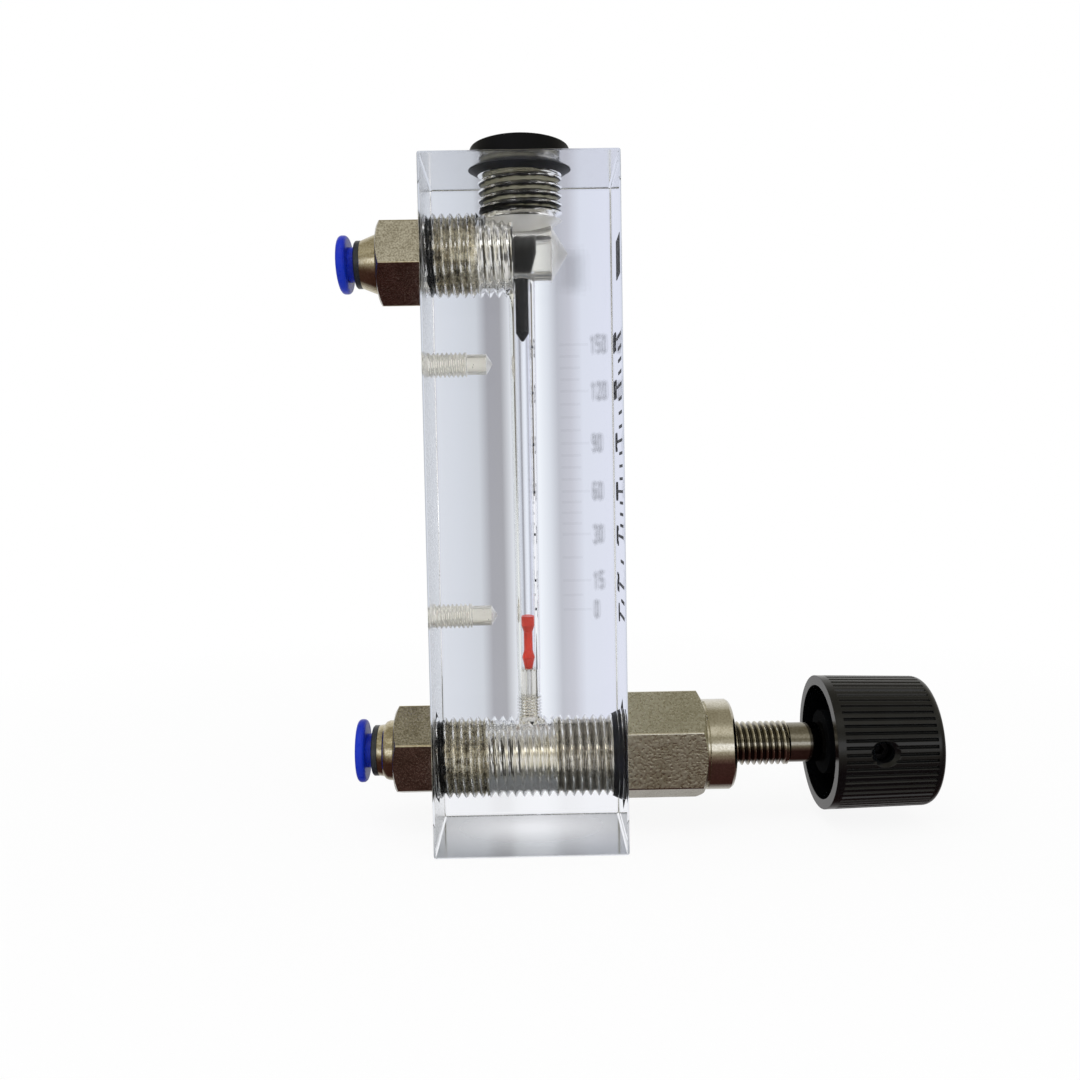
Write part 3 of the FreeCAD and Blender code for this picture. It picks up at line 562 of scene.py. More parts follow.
class Finishes:
    """Every finish of the meter, built once."""

    def __init__(self) -> None:
        """Builds the materials."""
        self.acrylic = PolishedAcrylic("cast_acrylic_polished").build()
        self.tapped = MachinedAcrylic("tapped_acrylic_frosted", stain_mm=(0.0, 0.0, 88.6)).build()
        self.drilled = MachinedAcrylic("drilled_acrylic_milky", "EDEAE0", roughness=0.36, bump=0.12,
                                       milk=0.4).build()
        # The top's grey tint is painted shade from the plug head; its frosting is the milled face's own.
        self.milled = MachinedAcrylic("milled_acrylic_top_painted_shade", "A9ABB2", roughness=0.13, mark_mm=1.2, bump=0.02,
                                      milk=0.2).build()
        # The foot's grey tint, clear only near its middle, is painted contact shade.
        self.foot = MachinedAcrylic("milled_acrylic_foot_painted_shade", "7E8386", roughness=0.08, mark_mm=2.5, bump=0.01,
                                    unshaded_centre_mm=(0.0, 5.0, 0.0)).build()
        self.sawn = MachinedAcrylic("sawn_acrylic_back", "DFE2DD", roughness=0.3, mark_mm=0.6,
                                    bump=0.04).build()
        self.edge = MachinedAcrylic("broken_edge_acrylic", "EDEFF3", roughness=0.02, mark_mm=1.5,
                                    bump=0.0).build()
        self.nickel_flat = NickelPlate("nickel_plate_pressed", "E6E3D8", "A9A393", 0.2, 0.28, 0.4).build()
        self.nickel_bar = NickelPlate("nickel_plate_pressed_coarse", "E0DECF", "C6C3B0", 0.3, 0.4, 1.0,
                                      relief_mm=0.09).build()
        self.nickel_turned = NickelPlate("nickel_plate_turned", "F1EEE3", "D4CFC0", 0.05, 0.3, 0.04).build()
        self.nickel_worn = NickelPlate("nickel_plate_worn_to_brass", "EAE3CC", "C8BC9C", 0.12, 0.3,
                                       0.08).build()
        # The valve thread and the stem get painted shade in their thread roots.
        self.valve_thread = NickelPlate("nickel_plate_thread", "E2E0DA", "C0BBB0", 0.13, 0.6, 0.04, 0.95, 0.3,
                                        root_mm=(13.0, 5.66, 6.0)).build()
        self.stem = NickelPlate("nickel_plate_stem", "F6F3E8", "D9D4C5", 0.06, 0.4, 0.04,
                                root_mm=(13.0, 3.1, 3.75)).build()
        self.plug = Moulded("black_acetal_turned", "0B0C0F", "08090B", 0.42, 0.4, 0.15, 0.12).build()
        self.rubber = Moulded("black_nitrile_rubber", "121520", "0B0D12", 0.5, 0.25, 0.3, 0.3).build()
        self.guide = Moulded("black_nylon_moulded", "303338", "24272B", 0.3, 0.3, 0.15).build()
        self.plug_thread = PastedThread("black_acetal_in_thread_paste", 5.75, 6.5, 105.2, 99.2).build()
        self.sleeve = Moulded("blue_acetal_moulded", "1233BC", "0E24AA", 0.3, 0.5, 0.06, 0.25).build()
        self.float = Moulded("red_float_plastic", "E2402C", "C22E1E", 0.35, 0.3, 0.1, 0.5, 0.3).build()
        self.knob = Moulded("black_abs_satin", "0A0C0E", "07080A", 0.18, 0.22, 0.12, 0.55,
                            dull_mm=(13.0, 8.4, 9.2), edge_mm=0.16).build()
        self.ink = Moulded("black_screen_ink", "1B1B1F", "101013", 0.6, 0.15, 0.2).build()
        self.spring = NickelPlate("stainless_spring_strip", "A9ABAD", "77797B", 0.3, 0.2, 0.2).build()
        self.oxide = NickelPlate("black_oxide_steel", "2A2A2C", "18181A", 0.4, 0.2, 0.3).build()

    def sealed_thread(self, axis_z: float) -> Material:
        """Thread of a rear fitting, with painted shade in its roots and black sealant at the block's back."""
        name = f"nickel_plate_thread_sealed_{axis_z:.0f}"
        return NickelPlate(name, "DEDACB", "A9A08A", 0.24, 0.6, 0.08, 0.85, 0.8, root_mm=(axis_z, 5.66, 5.98),
                           sealant_mm=(-15.2, -11.9)).build()


@dataclass
class Thread:
    """A screw thread about the X axis, in millimetres."""

    start: float
    end: float
    crest_r: float
    depth: float
    pitch: float
    runout: float = 0.3
    rows_per_turn: int = 10
    cap_r: float = NO_CAP_R


@dataclass
class Section:
    """A stretch of a turned piece: a profile or a thread, and its material slot."""

    form: Any
    slot: int = 0


def tapped(start: float, end: float) -> Thread:
    """Pipe thread cut in the block."""
    return Thread(start, end, G_MAJOR_R, G_DEPTH, G_PITCH)


def screwed(start: float, end: float) -> Thread:
    """Pipe thread of a piece screwed into the block, wet against it, with its crests turned down."""
    return Thread(start, end, G_MAJOR_R + WET_CONTACT, G_DEPTH, G_PITCH, 0.05, cap_r=CREST_R)


def rod(start: float, end: float, radius: float) -> Section:
    """Whole outline of a plain round cutter, in the slot of cut faces."""
    return Section(((start, 0), (start, radius), (end, radius), (end, 0)), 1)


def lead_in(face: float, radius: float, slot: int) -> Section:
    """Start of a cutter that comes in through a face."""
    return Section(((face - OVERRUN, 0), (face - OVERRUN, radius), (face, radius)), slot)


def countersink(face: float, sink: tuple[float, float]) -> Section:
    """End of a cutter that leaves through a countersunk face."""
    rim, deep = sink
    return Section(((face - deep, G_MAJOR_R), (face, rim), (face + OVERRUN, rim), (face + OVERRUN, 0)), 1)


class ThreadMaker:
    """Geometry Nodes that draw one helical thread surface."""

    SIZES = {
        "Start": "start", "End": "end", "Crest radius": "crest_r", "Cap radius": "cap_r", "Depth": "depth",
        "Pitch": "pitch", "Runout": "runout",
    }
    KINDS = {"Rows": "NodeSocketInt", "Segments": "NodeSocketInt", "Material": "NodeSocketMaterial"}
    SEAM = 1e-7

    def __init__(self) -> None:
        """Builds the node tree."""
        self.tree = bpy.data.node_groups.new("screw_thread", "GeometryNodeTree")
        kinds = {"Geometry": "NodeSocketGeometry", **dict.fromkeys(self.SIZES, "NodeSocketFloat")}
        kinds.update(self.KINDS)
        for name, kind in kinds.items():
            self.tree.interface.new_socket(name, in_out="INPUT", socket_type=kind)
        self.tree.interface.new_socket("Geometry", in_out="OUTPUT", socket_type="NodeSocketGeometry")
        self._wire()

    def _wire(self) -> None:
        """Links the nodes: a grid is wrapped round the axis, and its radius follows the helix."""
        nodes = Nodes(self.tree)
        calc = nodes.calc
        size = nodes.add("NodeGroupInput").outputs
        grid = nodes.add("GeometryNodeMeshGrid", {
            "Size X": 1.0, "Size Y": 1.0, "Vertices X": size["Rows"], "Vertices Y": size["Segments"],
        })
        spot = nodes.add("GeometryNodeInputPosition").outputs[0]
        share = calc("ADD", nodes.axis("X", spot), 0.5)
        turn = calc("ADD", nodes.axis("Y", spot), 0.5)
        along = calc("MULTIPLY_ADD", share, calc("SUBTRACT", size["End"], size["Start"]), size["Start"])
        angle = calc("MULTIPLY", turn, 2 * math.pi)
        phase = calc("FRACT", calc("SUBTRACT", calc("DIVIDE", along, size["Pitch"]), turn))
        slope = calc("ABSOLUTE", calc("MULTIPLY_ADD", phase, 2.0, -1.0))
        wave = nodes.clamp(calc("MULTIPLY_ADD", slope, 1.3, -0.15))
        begun, left = calc("SUBTRACT", along, size["Start"]), calc("SUBTRACT", size["End"], along)
        fade = nodes.clamp(calc("DIVIDE", calc("MINIMUM", begun, left), size["Runout"]))
        cut = calc("MULTIPLY", calc("MULTIPLY", wave, fade), size["Depth"])
        radius = calc("MINIMUM", calc("SUBTRACT", size["Crest radius"], cut), size["Cap radius"])
        across = calc("MULTIPLY", radius, calc("COSINE", angle))
        upward = calc("MULTIPLY", radius, calc("SINE", angle))
        spot = nodes.add("ShaderNodeCombineXYZ", {0: along, 1: across, 2: upward}).outputs[0]
        flow = grid.outputs["Mesh"]
        steps = {"SetPosition": {"Position": spot}, "MergeByDistance": {"Distance": self.SEAM},
                 "RealizeInstances": {}, "SetMaterial": {"Material": size["Material"]}}
        for kind, inputs in steps.items():
            flow = nodes.add(f"GeometryNode{kind}", {"Geometry": flow, **inputs}).outputs[0]
        nodes.add("NodeGroupOutput", {"Geometry": flow})

    def surface(self, thread: Thread, segments: int, material: Material) -> Mesh:
        """Draws a thread as an open tube.

        Args:
            thread: Sizes of the thread.
            segments: Faces round the axis.
            material: Material of the thread.

        Returns:
            The mesh, in metres about the X axis.
        """
        carrier = placed("thread_carrier", bpy.data.meshes.new("thread_carrier"))
        modifier = carrier.modifiers.new("thread", "NODES")
        modifier.node_group = self.tree
        rows = max(4, round((thread.end - thread.start) / thread.pitch * thread.rows_per_turn))
        values = {name: getattr(thread, field) * MM for name, field in self.SIZES.items()}
        values.update({"Rows": rows + 1, "Segments": segments + 1, "Material": material})
        for item in self.tree.interface.items_tree:
            if item.in_out == "INPUT" and item.name in values:
                modifier[item.identifier] = values[item.name]
        mesh = plain_mesh(carrier)
        carrier.modifiers.clear()
        bpy.data.objects.remove(carrier)
        return mesh


class Workshop:
    """Makes meshes: turned pieces, hexagons on them, and cuts and joins between pieces."""

    WELD = 2e-7
    EDGE_FACES = 3
    HEX_EASE = 0.18
    HEX_FACE = 0.97
    HEX_SLOPE = math.tan(math.radians(30))

    def __init__(self) -> None:
        """Gets the thread maker ready."""
        self.threads = ThreadMaker()

    def piece(self, name: str, shape: Shape, materials: Sequence[Material]) -> Item:
        """Turns a bmesh into an object with outward faces.

        Args:
            name: Name of the object.
            shape: Its faces, which are freed.
            materials: Its material slots.

        Returns:
            The object.
        """
        bmesh.ops.remove_doubles(shape, verts=shape.verts, dist=self.WELD)
        bmesh.ops.recalc_face_normals(shape, faces=shape.faces)
        return placed(name, baked(name, shape, materials))

    def turned(self, name: str, sections: Iterable[Section], materials: Sequence[Material],
               line: Line = Line.ACROSS, height: float = 0.0, segments: int = 96) -> Item:
        """Turns a closed piece from its sections.

        Args:
            name: Name of the object.
            sections: Stretches in order, each starting where the last one ends.
            materials: Material slots.
            line: Axis of the piece.
            height: Height of the axis in millimetres, or the shift along an upright axis.
            segments: Faces round the axis.

        Returns:
            The object.
        """
        shape = bmesh.new()
        for section in sections:
            if isinstance(section.form, Thread):
                mesh = self.threads.surface(section.form, segments, materials[section.slot])
                for face in mesh.polygons:
                    face.material_index = section.slot
                shape.from_mesh(mesh)
                bpy.data.meshes.remove(mesh)
            else:
                self._rings(shape, section, segments)
        if line is Line.UPRIGHT:
            bmesh.ops.transform(shape, matrix=Matrix.Rotation(-math.pi / 2, 4, "Y"), verts=shape.verts)
        bmesh.ops.translate(shape, vec=Vector((0, 0, height * MM)), verts=shape.verts)
        return self.piece(name, shape, materials)

    def _ring(self, shape: Shape, along: float, radius: float, angles: Iterable[float]) -> list[Any]:
        """Makes points round the X axis at the given angles."""
        wide = radius * MM
        return [shape.verts.new((along * MM, wide * math.cos(at), wide * math.sin(at))) for at in angles]

    def _rings(self, shape: Shape, section: Section, segments: int) -> None:
        """Adds rings of faces along a profile.

        Args:
            shape: Mesh that gets them.
            section: Profile of (along, radius) points, and the slot.
            segments: Faces round the axis.
        """
        angles = [2 * math.pi * step / segments for step in range(segments)]
        rows = []
        for along, radius in section.form:
            if radius > 0:
                rows.append(self._ring(shape, along, radius, angles))
            else:
                rows.append(self._ring(shape, along, 0.0, (0.0,)) * segments)
        for low, high in zip(rows, rows[1:]):
            for step in range(segments):
                following = (step + 1) % segments
                corners = dict.fromkeys((low[step], low[following], high[following], high[step]))
                if len(corners) > 2:
                    face = shape.faces.new(list(corners))
                    face.material_index = section.slot

    def add_hexagon(self, body: Item, span: tuple[float, float], across_flats: float, turn: float,
                    height: float, chamfered: End, core_r: float) -> Item:
        """Joins a hexagon bar with eased edges to a turned body.

        Args:
            body: Turned body along X.
            span: Start and end of the hexagon.
            across_flats: Width across flats.
            turn: Angle of the first corner above the near side, in degrees.
            height: Height of the axis.
            chamfered: End with turned-down corners.
            core_r: Radius of the bar's bore, inside the body's metal.

        Returns:
            The body.
        """
        slots = list(body.data.materials)
        radius = across_flats / math.sqrt(3)
        start, end = span
        shape = bmesh.new()
        angles = [math.pi - math.radians(turn + 60 * index) for index in range(6)]
        first, last = (self._ring(shape, along, radius, angles) for along in span)
        shape.faces.new(first)
        shape.faces.new(last)
        edges = []
        for index in range(6):
            following = (index + 1) % 6
            shape.faces.new((first[index], first[following], last[following], last[index]))
            edges.append(shape.edges.get((first[index], last[index])))
        bmesh.ops.recalc_face_normals(shape, faces=shape.faces)
        self.ease(shape, edges, self.HEX_EASE, 1)
        bar = self.piece("hexagon", shape, slots)
        low = across_flats / 2 * self.HEX_FACE
        drop = (radius - low) * self.HEX_SLOPE
        if chamfered is End.LOW:
            outline = ((start, 0), (start, low), (start + drop, radius), (end, radius), (end, 0))
        else:
            outline = ((start, 0), (start, radius), (end - drop, radius), (end, low), (end, 0))
        bar = self.combine(bar, self.turned("chamfer", [Section(outline)], slots), "INTERSECT")
        bar.data.transform(Matrix.Translation((0, 0, height * MM)))
        core = self.turned("core", [rod(start - OVERRUN, end + OVERRUN, core_r)], slots, Line.ACROSS, height)
        return self.combine(body, self.combine(bar, core, "DIFFERENCE"), "UNION")

    def ease(self, shape: Shape, edges: Any, radius: float, slot: int) -> None:
        """Rounds edges.

        Args:
            shape: Mesh that has them.
            edges: The edges.
            radius: Their radius in millimetres.
            slot: Material slot of the rounding.
        """
        rounded = bmesh.ops.bevel(shape, geom=edges, offset=radius * MM, segments=self.EDGE_FACES,
                                  profile=0.5, affect="EDGES", clamp_overlap=True)
        for face in rounded["faces"]:
            face.material_index = slot

    def combine(self, target: Item, tool: Item, operation: str) -> Item:
        """Cuts, joins or intersects two closed pieces, and removes the tool.

        Args:
            target: Piece that is kept.
            tool: Piece that is used up.
            operation: DIFFERENCE, UNION or INTERSECT.

        Returns:
            The target.
        """
        modifier = target.modifiers.new("cut", "BOOLEAN")
        modifier.operation = operation
        modifier.solver = "MANIFOLD"
        modifier.object = tool
        mesh = plain_mesh(target)
        target.modifiers.clear()
        for material in list(target.data.materials)[len(mesh.materials):]:
            mesh.materials.append(material)
        old, target.data = target.data, mesh
        bpy.data.meshes.remove(old)
        bpy.data.objects.remove(tool)
        return target

    def finish(self, item: Item, angle: float) -> None:
        """Smooths a piece except at its real edges and where its material changes.

        Args:
            item: The piece.
            angle: Largest angle, in degrees, that is still smoothed.
        """
        shape = bmesh.new()
        shape.from_mesh(item.data)
        for face in shape.faces:
            face.smooth = True
        for edge in shape.edges:
            sides = edge.link_faces
            bends = len(sides) == 2 and edge.calc_face_angle(math.pi) > math.radians(angle)
            differs = len(sides) == 2 and sides[0].material_index != sides[1].material_index
            edge.smooth = not (bends or differs)
        shape.to_mesh(item.data)
        shape.free()
        LOG.info("%s: %d faces", item.name, len(item.data.polygons))


def adopt(item: Item, body: str, slot: str, *nodes: str) -> None:
    """Puts a piece on its body in place of CAD nodes.

    Args:
        item: The piece.
        body: CAD body that it rides on.
        slot: Not used.
        *nodes: CAD nodes that it replaces.
    """
    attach(item, body)
    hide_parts(*nodes)
    LOG.info("%s rides on %s", item.name, body)


def dress(node: str, material: Material) -> None:
    """Gives a CAD node its finish.

    Args:
        node: Name of the node.
        material: The finish.
    """
    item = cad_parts[node]
    if not item.material_slots:
        item.data.materials.append(material)
    for slot in item.material_slots:
        slot.material = material
    LOG.info("%s keeps its CAD shape", node)


@dataclass
class Assembly:
    """A sub-assembly: the workshop that makes its meshes, and the finishes that it wears."""

    shop: Workshop
    looks: Finishes

    def deliver(self, item: Item, slot: str, node: str, body: str = "housing", angle: float = 32.0) -> None:
        """Smooths a piece, and puts it on its body in place of a CAD node.

        Args:
            item: The piece.
            slot: Not used.
            node: CAD node that it replaces.
            body: CAD body that it rides on.
            angle: Largest angle, in degrees, that is still smoothed.
        """
        self.shop.finish(item, angle)
        adopt(item, body, slot, node)


@dataclass
class Block(Assembly):
    """Clear block with its ports, metering bore, float seat and printed scale."""

    depth: float = 30.0
    width: float = 30.0
    height: float = 106.0
    edge: float = 0.35
    inlet_z: float = 13.0
    outlet_z: float = 93.0
    outlet_tap: float = 13.75
    outlet_ease: float = 0.25
    outlet_drill_r: float = 4.4
    outlet_drill: float = 19.75
    top_tap: float = 7.9
    hole_z: tuple[float, float] = (36.0, 76.0)
    hole_r: float = 2.0
    hole_core_r: float = 1.62
    hole_tap: float = 6.0
    hole_ease: float = 0.2
    hole_depth: float = 9.2
    hole_tip: float = 1.0
    seat_bottom_z: float = 19.58
    seat_step_z: float = 22.88
    seat_top_z: float = 27.23
    seat_r: float = 1.97
    seat_neck_r: float = 1.75
    seat_hole_r: float = 0.55
    seat_gap: float = 0.04
    seat_drop: float = 0.02
    seat_edge: float = 0.25
    bore_foot_r: float = 1.85
    bore_head_r: float = 2.1
    step: float = 0.01
    print_sink: float = 0.06

    EDGE_SLOT = 3
    FACE_SLOTS = {(2, 1): 4, (2, -1): 6, (0, -1): 5}

    def __post_init__(self) -> None:
        """Works out the back face and gathers the material slots."""
        looks = self.looks
        self.back = -self.depth / 2
        self.slots = [looks.acrylic, looks.tapped, looks.drilled, looks.edge, looks.milled, looks.sawn,
                      looks.foot]

    def _outlet(self) -> Item:
        """Cutter for the upper rear port."""
        tap, end, r = self.back + self.outlet_tap, self.back + self.outlet_drill, self.outlet_drill_r
        return self.shop.turned("cut_outlet", [
            lead_in(self.back, G_MAJOR_R, 1),
            Section(tapped(self.back, tap), 1),
            Section(((tap, G_MAJOR_R), (tap + self.outlet_ease, r), (end, r)), 1),
            Section(((end, r), (end + r / DRILL_SLOPE, 0)), 2),
        ], self.slots, Line.ACROSS, self.outlet_z)

    def _valve(self) -> Item:
        """Cutter for the lower cross bore, tapped through and countersunk in front."""
        front = self.depth / 2
        return self.shop.turned("cut_inlet", [
            lead_in(self.back, G_MAJOR_R, 1),
            Section(tapped(self.back, front - VALVE_SINK[1]), 1),
            countersink(front, VALVE_SINK),
        ], self.slots, Line.ACROSS, self.inlet_z)

    def _top(self) -> Item:
        """Cutter for the top port."""
        tap = self.height - self.top_tap
        return self.shop.turned("cut_top", [
            Section(((tap - G_MAJOR_R / DRILL_SLOPE, 0), (tap, G_MAJOR_R)), 2),
            Section(tapped(tap, self.height - TOP_SINK[1]), 1),
            countersink(self.height, TOP_SINK),
        ], self.slots, Line.UPRIGHT)

    def _seat_thread(self, radius: float, top: float) -> Section:
        """Fine thread of the float seat, in the block or on the seat."""
        return Section(Thread(self.seat_bottom_z, top, radius, depth=0.28, pitch=0.5, runout=0.15,
                              rows_per_turn=8), 1)

    def _metering(self) -> Item:
        """Cutter for the tapered bore and the pocket of the float seat.

        Returns:
            The cutter.
        """
        low, wide, step = self.seat_bottom_z, self.seat_r, self.seat_step_z
        neck, top = self.seat_neck_r, self.seat_top_z
        foot = (top + self.step, self.bore_foot_r)
        return self.shop.turned("cut_metering", [
            Section(((self.inlet_z, 0), (self.inlet_z, wide), (low, wide)), 1),
            self._seat_thread(wide, step),
            Section(((step, wide), (step + self.step, neck), (top, neck), foot), 1),
            Section((foot, (self.outlet_z, self.bore_head_r), (self.outlet_z, 0))),
        ], self.slots, Line.UPRIGHT, segments=64)

    def _mounting(self, z: float) -> Item:
        """Makes the cutter for one blind M4 hole.

        Args:
            z: Height of the hole.

        Returns:
            The cutter.
        """
        wide, core = self.hole_r, self.hole_core_r
        tap, end = self.back + self.hole_tap, self.back + self.hole_depth
        return self.shop.turned("cut_m4", [
            lead_in(self.back, wide, 2),
            Section(Thread(self.back, tap, wide, depth=0.42, pitch=0.7, runout=0.2, rows_per_turn=8), 2),
            Section(((tap, wide), (tap + self.hole_ease, core), (end, core), (end + self.hole_tip, 0)), 2),
        ], self.slots, Line.ACROSS, z, segments=48)

    def _bar(self) -> Item:
        """Makes the bar that the block is cut from.

        Returns:
            The bar.
        """
        shape = bmesh.new()
        bmesh.ops.create_cube(shape, size=1.0)
        low, high = (self.back, -self.width / 2, 0.0), (-self.back, self.width / 2, self.height)
        for vert in shape.verts:
            vert.co = [(first if value < 0 else last) * MM for value, first, last in zip(vert.co, low, high)]
        bmesh.ops.recalc_face_normals(shape, faces=shape.faces)
        for face in shape.faces:
            for (axis, sign), slot in self.FACE_SLOTS.items():
                if face.normal[axis] * sign > FACING_SHARE:
                    face.material_index = slot
        self.shop.ease(shape, shape.edges, self.edge, self.EDGE_SLOT)
        return self.shop.piece("clear_block", shape, self.slots)

    def build(self) -> None:
        """Makes the block, its seat, float and print."""
        block = self._bar()
        cutters = [self._outlet(), self._valve(), self._top(), self._metering()]
        cutters += [self._mounting(z) for z in self.hole_z]
        for cutter in cutters:
            block = self.shop.combine(block, cutter, "DIFFERENCE")
        block.visible_shadow = False
        self.deliver(block, "clear_acrylic", "acrylic_block")
        self._seat()
        self._print()
        dress("metering_float", self.looks.float)

    def _seat(self) -> None:
        """Makes the clear screwed insert under the float."""
        low, step, top = self.seat_bottom_z, self.seat_step_z, self.seat_top_z - self.seat_drop
        wide, neck, hole = self.seat_r - self.seat_gap, self.seat_neck_r - self.seat_gap, self.seat_hole_r
        shoulder = step - self.seat_gap
        seat = self.shop.turned("clear_float_seat", [
            Section(((low, hole), (low, wide)), 1),
            self._seat_thread(wide, shoulder),
            Section(((shoulder, wide), (step, neck), (top - self.seat_edge, neck),
                     (top, neck - self.seat_edge), (top, hole), (low, hole))),
        ], self.slots, Line.UPRIGHT, segments=64)
        seat.visible_shadow = False
        self.deliver(seat, "clear_acrylic", "float_seat")

    def _print(self) -> None:
        """Copies the ink of the scale, let into the face by a hair so that it touches the acrylic."""
        for node in ("scale_ticks", "scale_numerals", "scale_header_bar"):
            shape = bmesh.new()
            shape.from_mesh(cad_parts[node].data)
            bmesh.ops.translate(shape, vec=Vector((-self.print_sink * MM, 0, 0)), verts=shape.verts)
            ink = self.shop.piece(node + "_ink", shape, [self.looks.ink])
            adopt(ink, "housing", "scale_print", node)


@dataclass
class SqueezedRing(Assembly):
    """O-ring that is pressed into a countersink and wets its cone in ripples."""

    name: str
    node: str
    line: Line
    face: float
    sink: tuple[float, float]
    height: float = 0.0
    neck_r: float = 5.9
    lip: float = 0.01
    lip_corner: float = 0.1
    rim_drop: float = 0.05
    rim_inset: float = 0.06
    tail: float = 0.04
    overlap: float = 0.04
    ripple: float = 0.03
    ripples: int = 3
    rows: int = 8
    smooth_angle: float = 50.0

    def build(self) -> None:
        """Makes the ring in place of its node."""
        mouth, deep = self.sink
        low, high = self.face - deep - self.tail, self.face - self.lip
        rim, rim_r = self.face - self.rim_drop, mouth - self.rim_inset
        points = [(low, self.neck_r), (high, self.neck_r), (high, mouth - self.lip_corner)]
        for row in range(self.rows + 1):
            share = row / self.rows
            wave = self.overlap + self.ripple * math.cos(share * self.ripples * 2 * math.pi)
            points.append((rim - (deep - self.rim_drop) * share, rim_r - (rim_r - G_MAJOR_R) * share + wave))
        points.append((low, self.neck_r))
        ring = self.shop.turned(self.name, [Section(points)], [self.looks.rubber], self.line, self.height)
        self.deliver(ring, "black_rubber", self.node, angle=self.smooth_angle)


@dataclass
class Plug(Assembly):
    """Black top plug with its stop rod, and the O-ring under its head."""

    top: float = 106.0
    head_r: float = 8.1
    head_h: float = 4.95
    head_edge: float = 0.4
    head_bulge: float = 0.3
    head_ease: float = 0.15
    neck_r: float = 5.9
    thread_end: float = 6.8
    lead: tuple[float, float] = (0.3, 0.6)
    shank_r: float = 2.4
    shank_length: float = 5.8
    mouth_z: float = 88.6
    rod_r: float = 1.55
    tip_z: float = 79.63
    tip_r: float = 0.3
    point: float = 1.2

    def build(self) -> None:
        """Makes the plug and its ring."""
        face, cap, edge, wide = self.top, self.top + self.head_h, self.head_edge, self.head_r
        low = face - self.thread_end
        start = low + self.lead[0]
        neck = face - TOP_SINK[1]
        shank = low - self.shank_length
        bulge = edge * self.head_bulge
        plug = self.shop.turned("black_top_plug", [
            Section(((self.tip_z, 0), (self.tip_z, self.tip_r), (self.tip_z + self.point, self.rod_r),
                     (self.mouth_z, self.rod_r), (shank, self.shank_r), (low, self.shank_r),
                     (low, CREST_R - self.lead[1]), (start, CREST_R))),
            Section(screwed(start, neck), 1),
            Section(((neck, CREST_R), (neck, self.neck_r), (face, self.neck_r), (face, wide - self.head_ease),
                     (face + self.head_ease, wide), (cap - edge, wide), (cap - bulge, wide - bulge),
                     (cap, wide - edge), (cap, 0))),
        ], [self.looks.plug, self.looks.plug_thread], Line.UPRIGHT)
        self.deliver(plug, "black_plug_plastic", "top_plug")
        SqueezedRing(self.shop, self.looks, "plug_ring", "top_plug_o_ring", Line.UPRIGHT, face,
                     TOP_SINK).build()


@dataclass
class RearFitting(Assembly):
    """Push-in tube fitting in a rear port."""

    side: str
    axis_z: float
    stand_off: float
    turn: float
    barrel: Profile
    hex_af: float
    hex_length: float = 7.2
    barrel_length: float = 3.0
    thread_length: float = 8.6
    thread_lead: tuple[float, float] = (0.5, 0.6)
    back: float = -15.0
    mouth_r: float = 3.3
    mouth_depth: float = 3.85
    tube_r: float = 2.05
    tube_depth: float = 8.25
    flow_r: float = 1.4
    core_r: float = 3.6
    root: float = 0.5

    def build(self) -> None:
        """Makes the body and dresses the small pieces."""
        looks, mouth_r = self.looks, self.mouth_r
        hex_x = self.back - self.stand_off
        shoulder = hex_x - self.hex_length
        mouth = shoulder - self.barrel_length
        seal, stop = mouth + self.mouth_depth, mouth + self.tube_depth
        end = hex_x + self.thread_length
        tail = end - self.thread_lead[0]
        wide = self.barrel[-1][1]
        outside = [(mouth, mouth_r), *((mouth + along, radius) for along, radius in self.barrel)]
        outside += [(shoulder + self.root, wide), (hex_x, wide), (hex_x, CREST_R)]
        slots = [looks.nickel_flat, looks.nickel_worn, looks.sealed_thread(self.axis_z)]
        body = self.shop.turned(self.side + "_fitting", [
            Section(outside, 1),
            Section(screwed(hex_x, tail), 2),
            Section(((tail, CREST_R), (end, CREST_R - self.thread_lead[1]), (end, self.flow_r)), 2),
            Section(((end, self.flow_r), (stop, self.flow_r), (stop, self.tube_r), (seal, self.tube_r),
                     (seal, mouth_r), (mouth, mouth_r)), 1),
        ], slots, Line.ACROSS, self.axis_z)
        span = (shoulder, hex_x)
        body = self.shop.add_hexagon(body, span, self.hex_af, self.turn, self.axis_z, End.LOW, self.core_r)
        self.deliver(body, "nickel_plated_brass", self.side + "_fitting_body")
        for piece, material in (("collet_guide", looks.guide), ("grab_ring", looks.spring),
                                ("tube_seal", looks.rubber), ("release_sleeve", looks.sleeve)):
            dress(f"{self.side}_{piece}", material)


